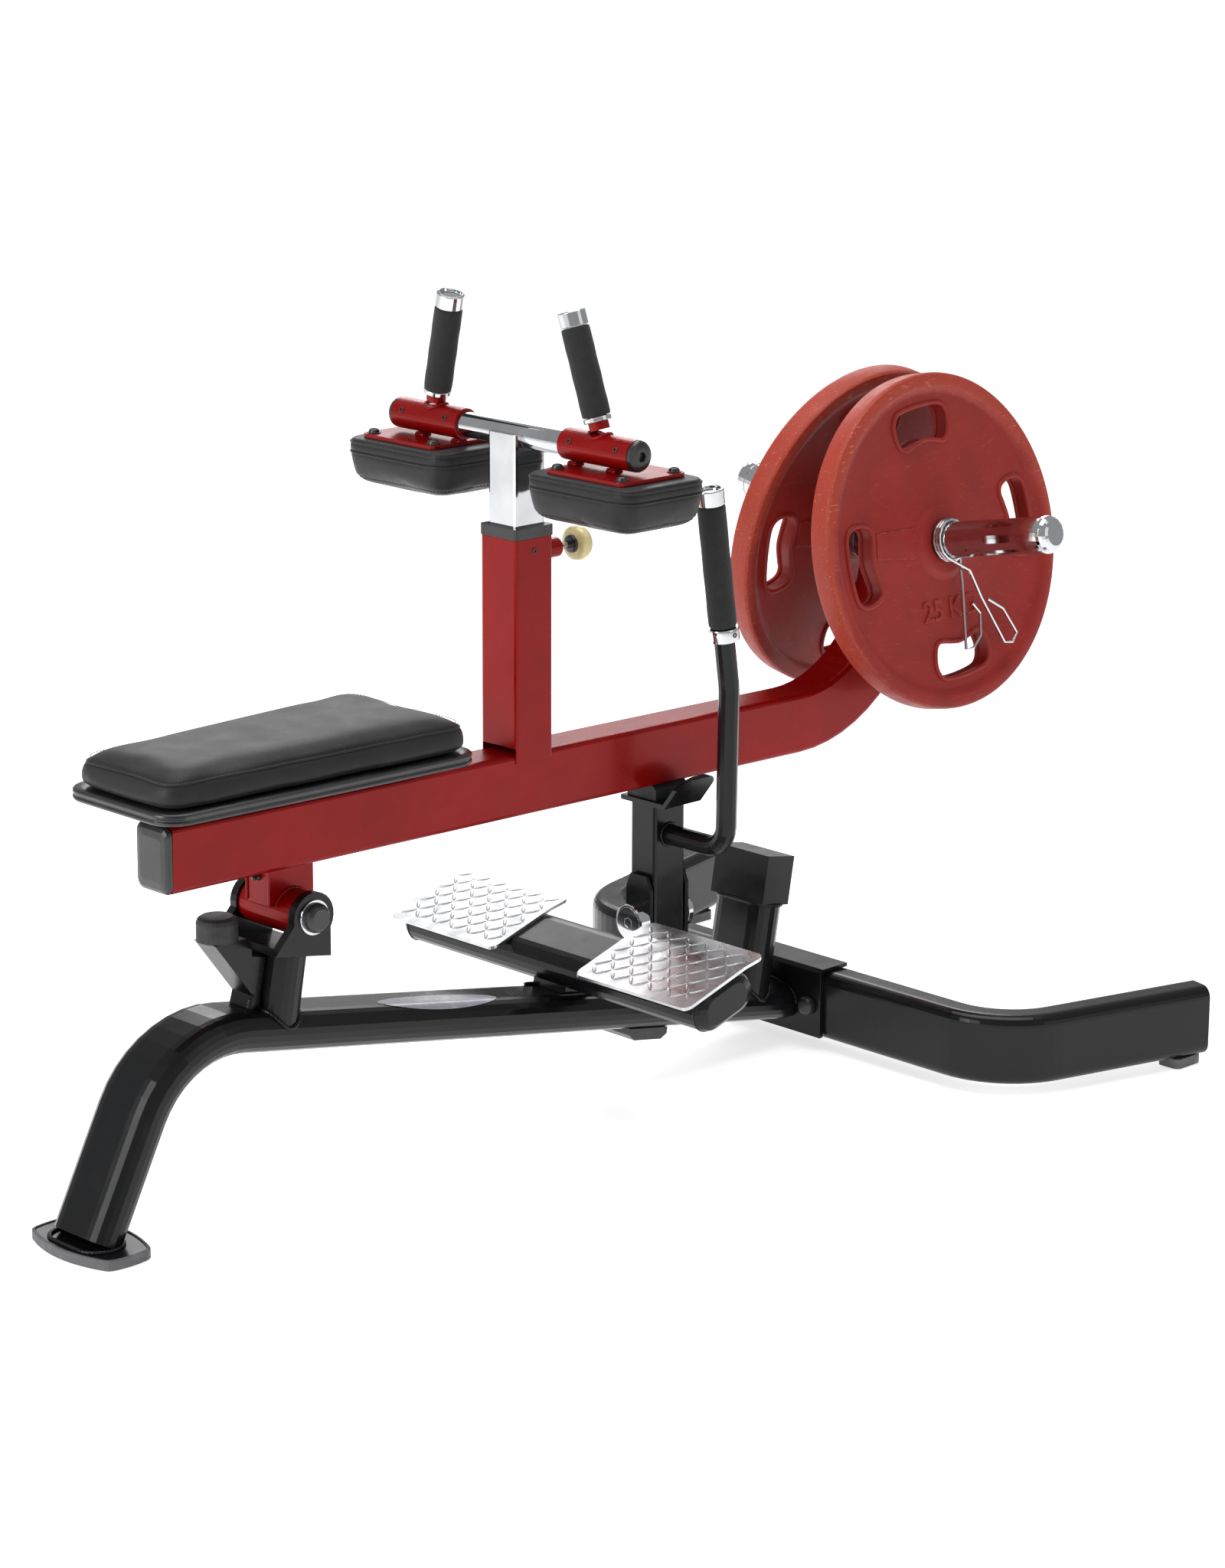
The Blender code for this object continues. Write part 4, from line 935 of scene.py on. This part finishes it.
def build_fittings():
    """Grease nipple, hinge washers, socket discs, saddle bolts, catch grip and sticker."""
    nipple = turned("grease_nipple", (-1116.2, 0, 404.0), (-1, 0, 0),
                    [(4.2, 0), (4.4, 1.8), (3.6, 2.2), (2.3, 3.4), (2.3, 5.2), (3.0, 6.4),
                     (2.6, 8.2), (1.2, 9.0)], n=24)
    settle(nipple, "lever", "plastic_black", angle=40)
    for side in (NEAR, FAR):
        out = (0, side, 0)
        washer = turned(side_name("hinge_washer", side), (PIVOT[0], side * 60.1, PIVOT[2]), out,
                        [(19, 0), (21.4, 0.1), (21.8, 0.8), (21.4, 1.7), (17, 1.9)], n=56)
        settle(washer, "base", "chrome", angle=30)
        c, s = math.cos(TREAD_TILT), math.sin(TREAD_TILT)
        ring = []
        for p in oval_ring(HINGE_POST_X, 0, 0.15):
            d = across_tube(p, HINGE_POST_X)
            ring.append((FOOTREST[0] + p[1] * c - d * s, side * FOOTREST_SEAM,
                         FOOTREST[1] + p[1] * s + d * c))
        settle(cord(side_name("footrest_cap_seam", side), ring, 0.8, True, n=6), "base",
               "plastic_black")
        button_bolt(side_name("saddle_screw", side), (-231.9, side * 70, 64), (-1, 0, 0), 10.4,
                    9.0, "base", "plastic_black")
    disc = turned("catch_shaft_socket", (-484.0 - 16.8, 0, 219.5), (-1, 0, 0),
                  [(20, 0), (20.6, 0.6), (14, 0.9), (7.2, 0.9), (6.6, -0.4)], n=48)
    hexed(disc, (-500.8, 0, 219.5), (-1, 0, 0), 7.2, 0.95)
    settle(disc, "base", "chrome", angle=30)
    bend, tip = Vector((-447.0, -125, 545)), Vector((-484.0, -125, 792))
    way = (tip - bend).normalized()
    foot = bend + way * 70
    build_grip("catch_handle_grip", foot + way * 14, way, 160, 18.0, "catch", "catch_grip",
               "catch_grip_cap", 21.0)
    collar = turned("catch_grip_collar", foot, way,
                    [(13.8, -5), (16.8, -4.8), (19.8, -3.9), (20, -3), (20, 10.6), (19.2, 12.6),
                     (13.8, 13.4)], n=56, bored=True)
    settle(collar, "catch", "chrome", angle=30)
    where = foot + Vector((0, -20.0, 0)) + way * 5
    settle(socket_screw("catch_collar_screw", where, (0, -1, 0), 3.4, 0.8), "catch",
           "plastic_black", angle=30)
    build_sticker()


def build_sticker():
    """Plain pale oval label lying on the near shoulder of the base tube."""
    cols, rows = 40, 14
    skin = TUBE_T / 2 + 0.5
    verts, faces = [], []
    for i in range(cols + 1):
        f = 2 * i / cols - 1
        half = STICKER_WIDE * math.sqrt(max(1 - f * f, 0.0))
        for j in range(rows + 1):
            girth_way = STICKER_MID + half * (2 * j / rows - 1)
            if girth_way < TUBE_FLAT:
                y, up = -girth_way, skin
            else:
                t = (girth_way - TUBE_FLAT) / skin
                y, up = -TUBE_FLAT - skin * math.sin(t), skin * math.cos(t)
            verts.append(at(*on_base(STICKER_X, f * STICKER_HALF, up, y)))
    for i in range(cols):
        for j in range(rows):
            a = i * (rows + 1) + j
            faces.append((a, a + rows + 1, a + rows + 2, a + 1))
    mesh = bpy.data.meshes.new("pale_sticker")
    mesh.from_pydata(verts, [], faces)
    obj = bpy.data.objects.new("pale_sticker", mesh)
    settle(obj, "base", "plastic_black", look=moulded("pale_label", (0.42, 0.42, 0.50), 0.35,
                                                      8.0, 0.01, 0.4, 0.1))


build_seat()
for which in (NEAR, FAR):
    build_knee_pad(which)
    build_plate(which)
    build_chequer(which)
build_knee_carriage()
build_plunger()
build_frame_details()


# ---------------------------------------------------------------- stage

def build_stage():
    """Pale floor, a white world and soft lights."""
    scene = bpy.context.scene
    scene.view_settings.view_transform = "Standard"
    world = bpy.data.worlds.new("studio")
    world.use_nodes = True
    world.node_tree.nodes["Background"].inputs["Color"].default_value = (1, 1, 1, 1)
    world.node_tree.nodes["Background"].inputs["Strength"].default_value = 0.42
    scene.world = world

    mesh = bpy.data.meshes.new("floor")
    far = 60.0
    mesh.from_pydata([(-far, -far, -0.0005), (far, -far, -0.0005), (far, far, -0.0005),
                      (-far, far, -0.0005)], [], [(0, 1, 2, 3)])
    floor = bpy.data.objects.new("floor", mesh)
    scene.collection.objects.link(floor)
    pale = Look("pale_floor", (0.88, 0.88, 0.88), 0.8, Specular_IOR_Level=0.0)
    pale.set("Base Color", pale.blend(pale.noise(900), (0.87, 0.87, 0.87, 1),
                                      (0.89, 0.89, 0.89, 1)))
    pale.set("Emission Color", (1.0, 1.0, 1.0, 1.0))
    pale.set("Emission Strength", 0.66)
    mesh.materials.append(pale.mat)

    for name, where, size, power in (
            ("key", (-4.2, 0.6, 2.4), (2.2, 2.6), 125.0),
            ("top", (0.2, 0.2, 4.2), (3.4, 2.4), 90.0),
            ("fill", (1.2, -4.2, 1.9), (2.0, 2.2), 10.0),
            ("back", (2.6, 3.0, 2.6), (2.4, 1.8), 45.0)):
        light = bpy.data.lights.new(name, "AREA")
        light.shape = "RECTANGLE"
        light.size, light.size_y = size
        light.energy = power
        lamp = bpy.data.objects.new(name, light)
        lamp.location = where
        aim = Vector((0, 0, 0.5)) - Vector(where)
        lamp.rotation_euler = aim.to_track_quat("-Z", "Y").to_euler()
        scene.collection.objects.link(lamp)


def build_camera():
    """Camera where the photograph's perspective puts it."""
    yaw, pitch, roll = (math.radians(a) for a in (44.249, 14.895, 0.245))
    forward = Vector((math.sin(yaw) * math.cos(pitch), math.cos(yaw) * math.cos(pitch),
                      -math.sin(pitch)))
    right = Vector((math.cos(yaw), -math.sin(yaw), 0.0))
    up = right.cross(forward)
    tilt_right = right * math.cos(roll) + up * math.sin(roll)
    tilt_up = up * math.cos(roll) - right * math.sin(roll)
    data = bpy.data.cameras.new("camera")
    data.sensor_width = 36.0
    data.lens = 94.94
    data.clip_end = 200.0
    camera = bpy.data.objects.new("camera", data)
    turn = Matrix((tilt_right, tilt_up, -forward)).transposed().to_4x4()
    camera.matrix_world = Matrix.Translation((-3.5012, -3.6657, 1.7679)) @ turn
    bpy.context.scene.collection.objects.link(camera)
    bpy.context.scene.camera = camera


build_stage()
build_camera()
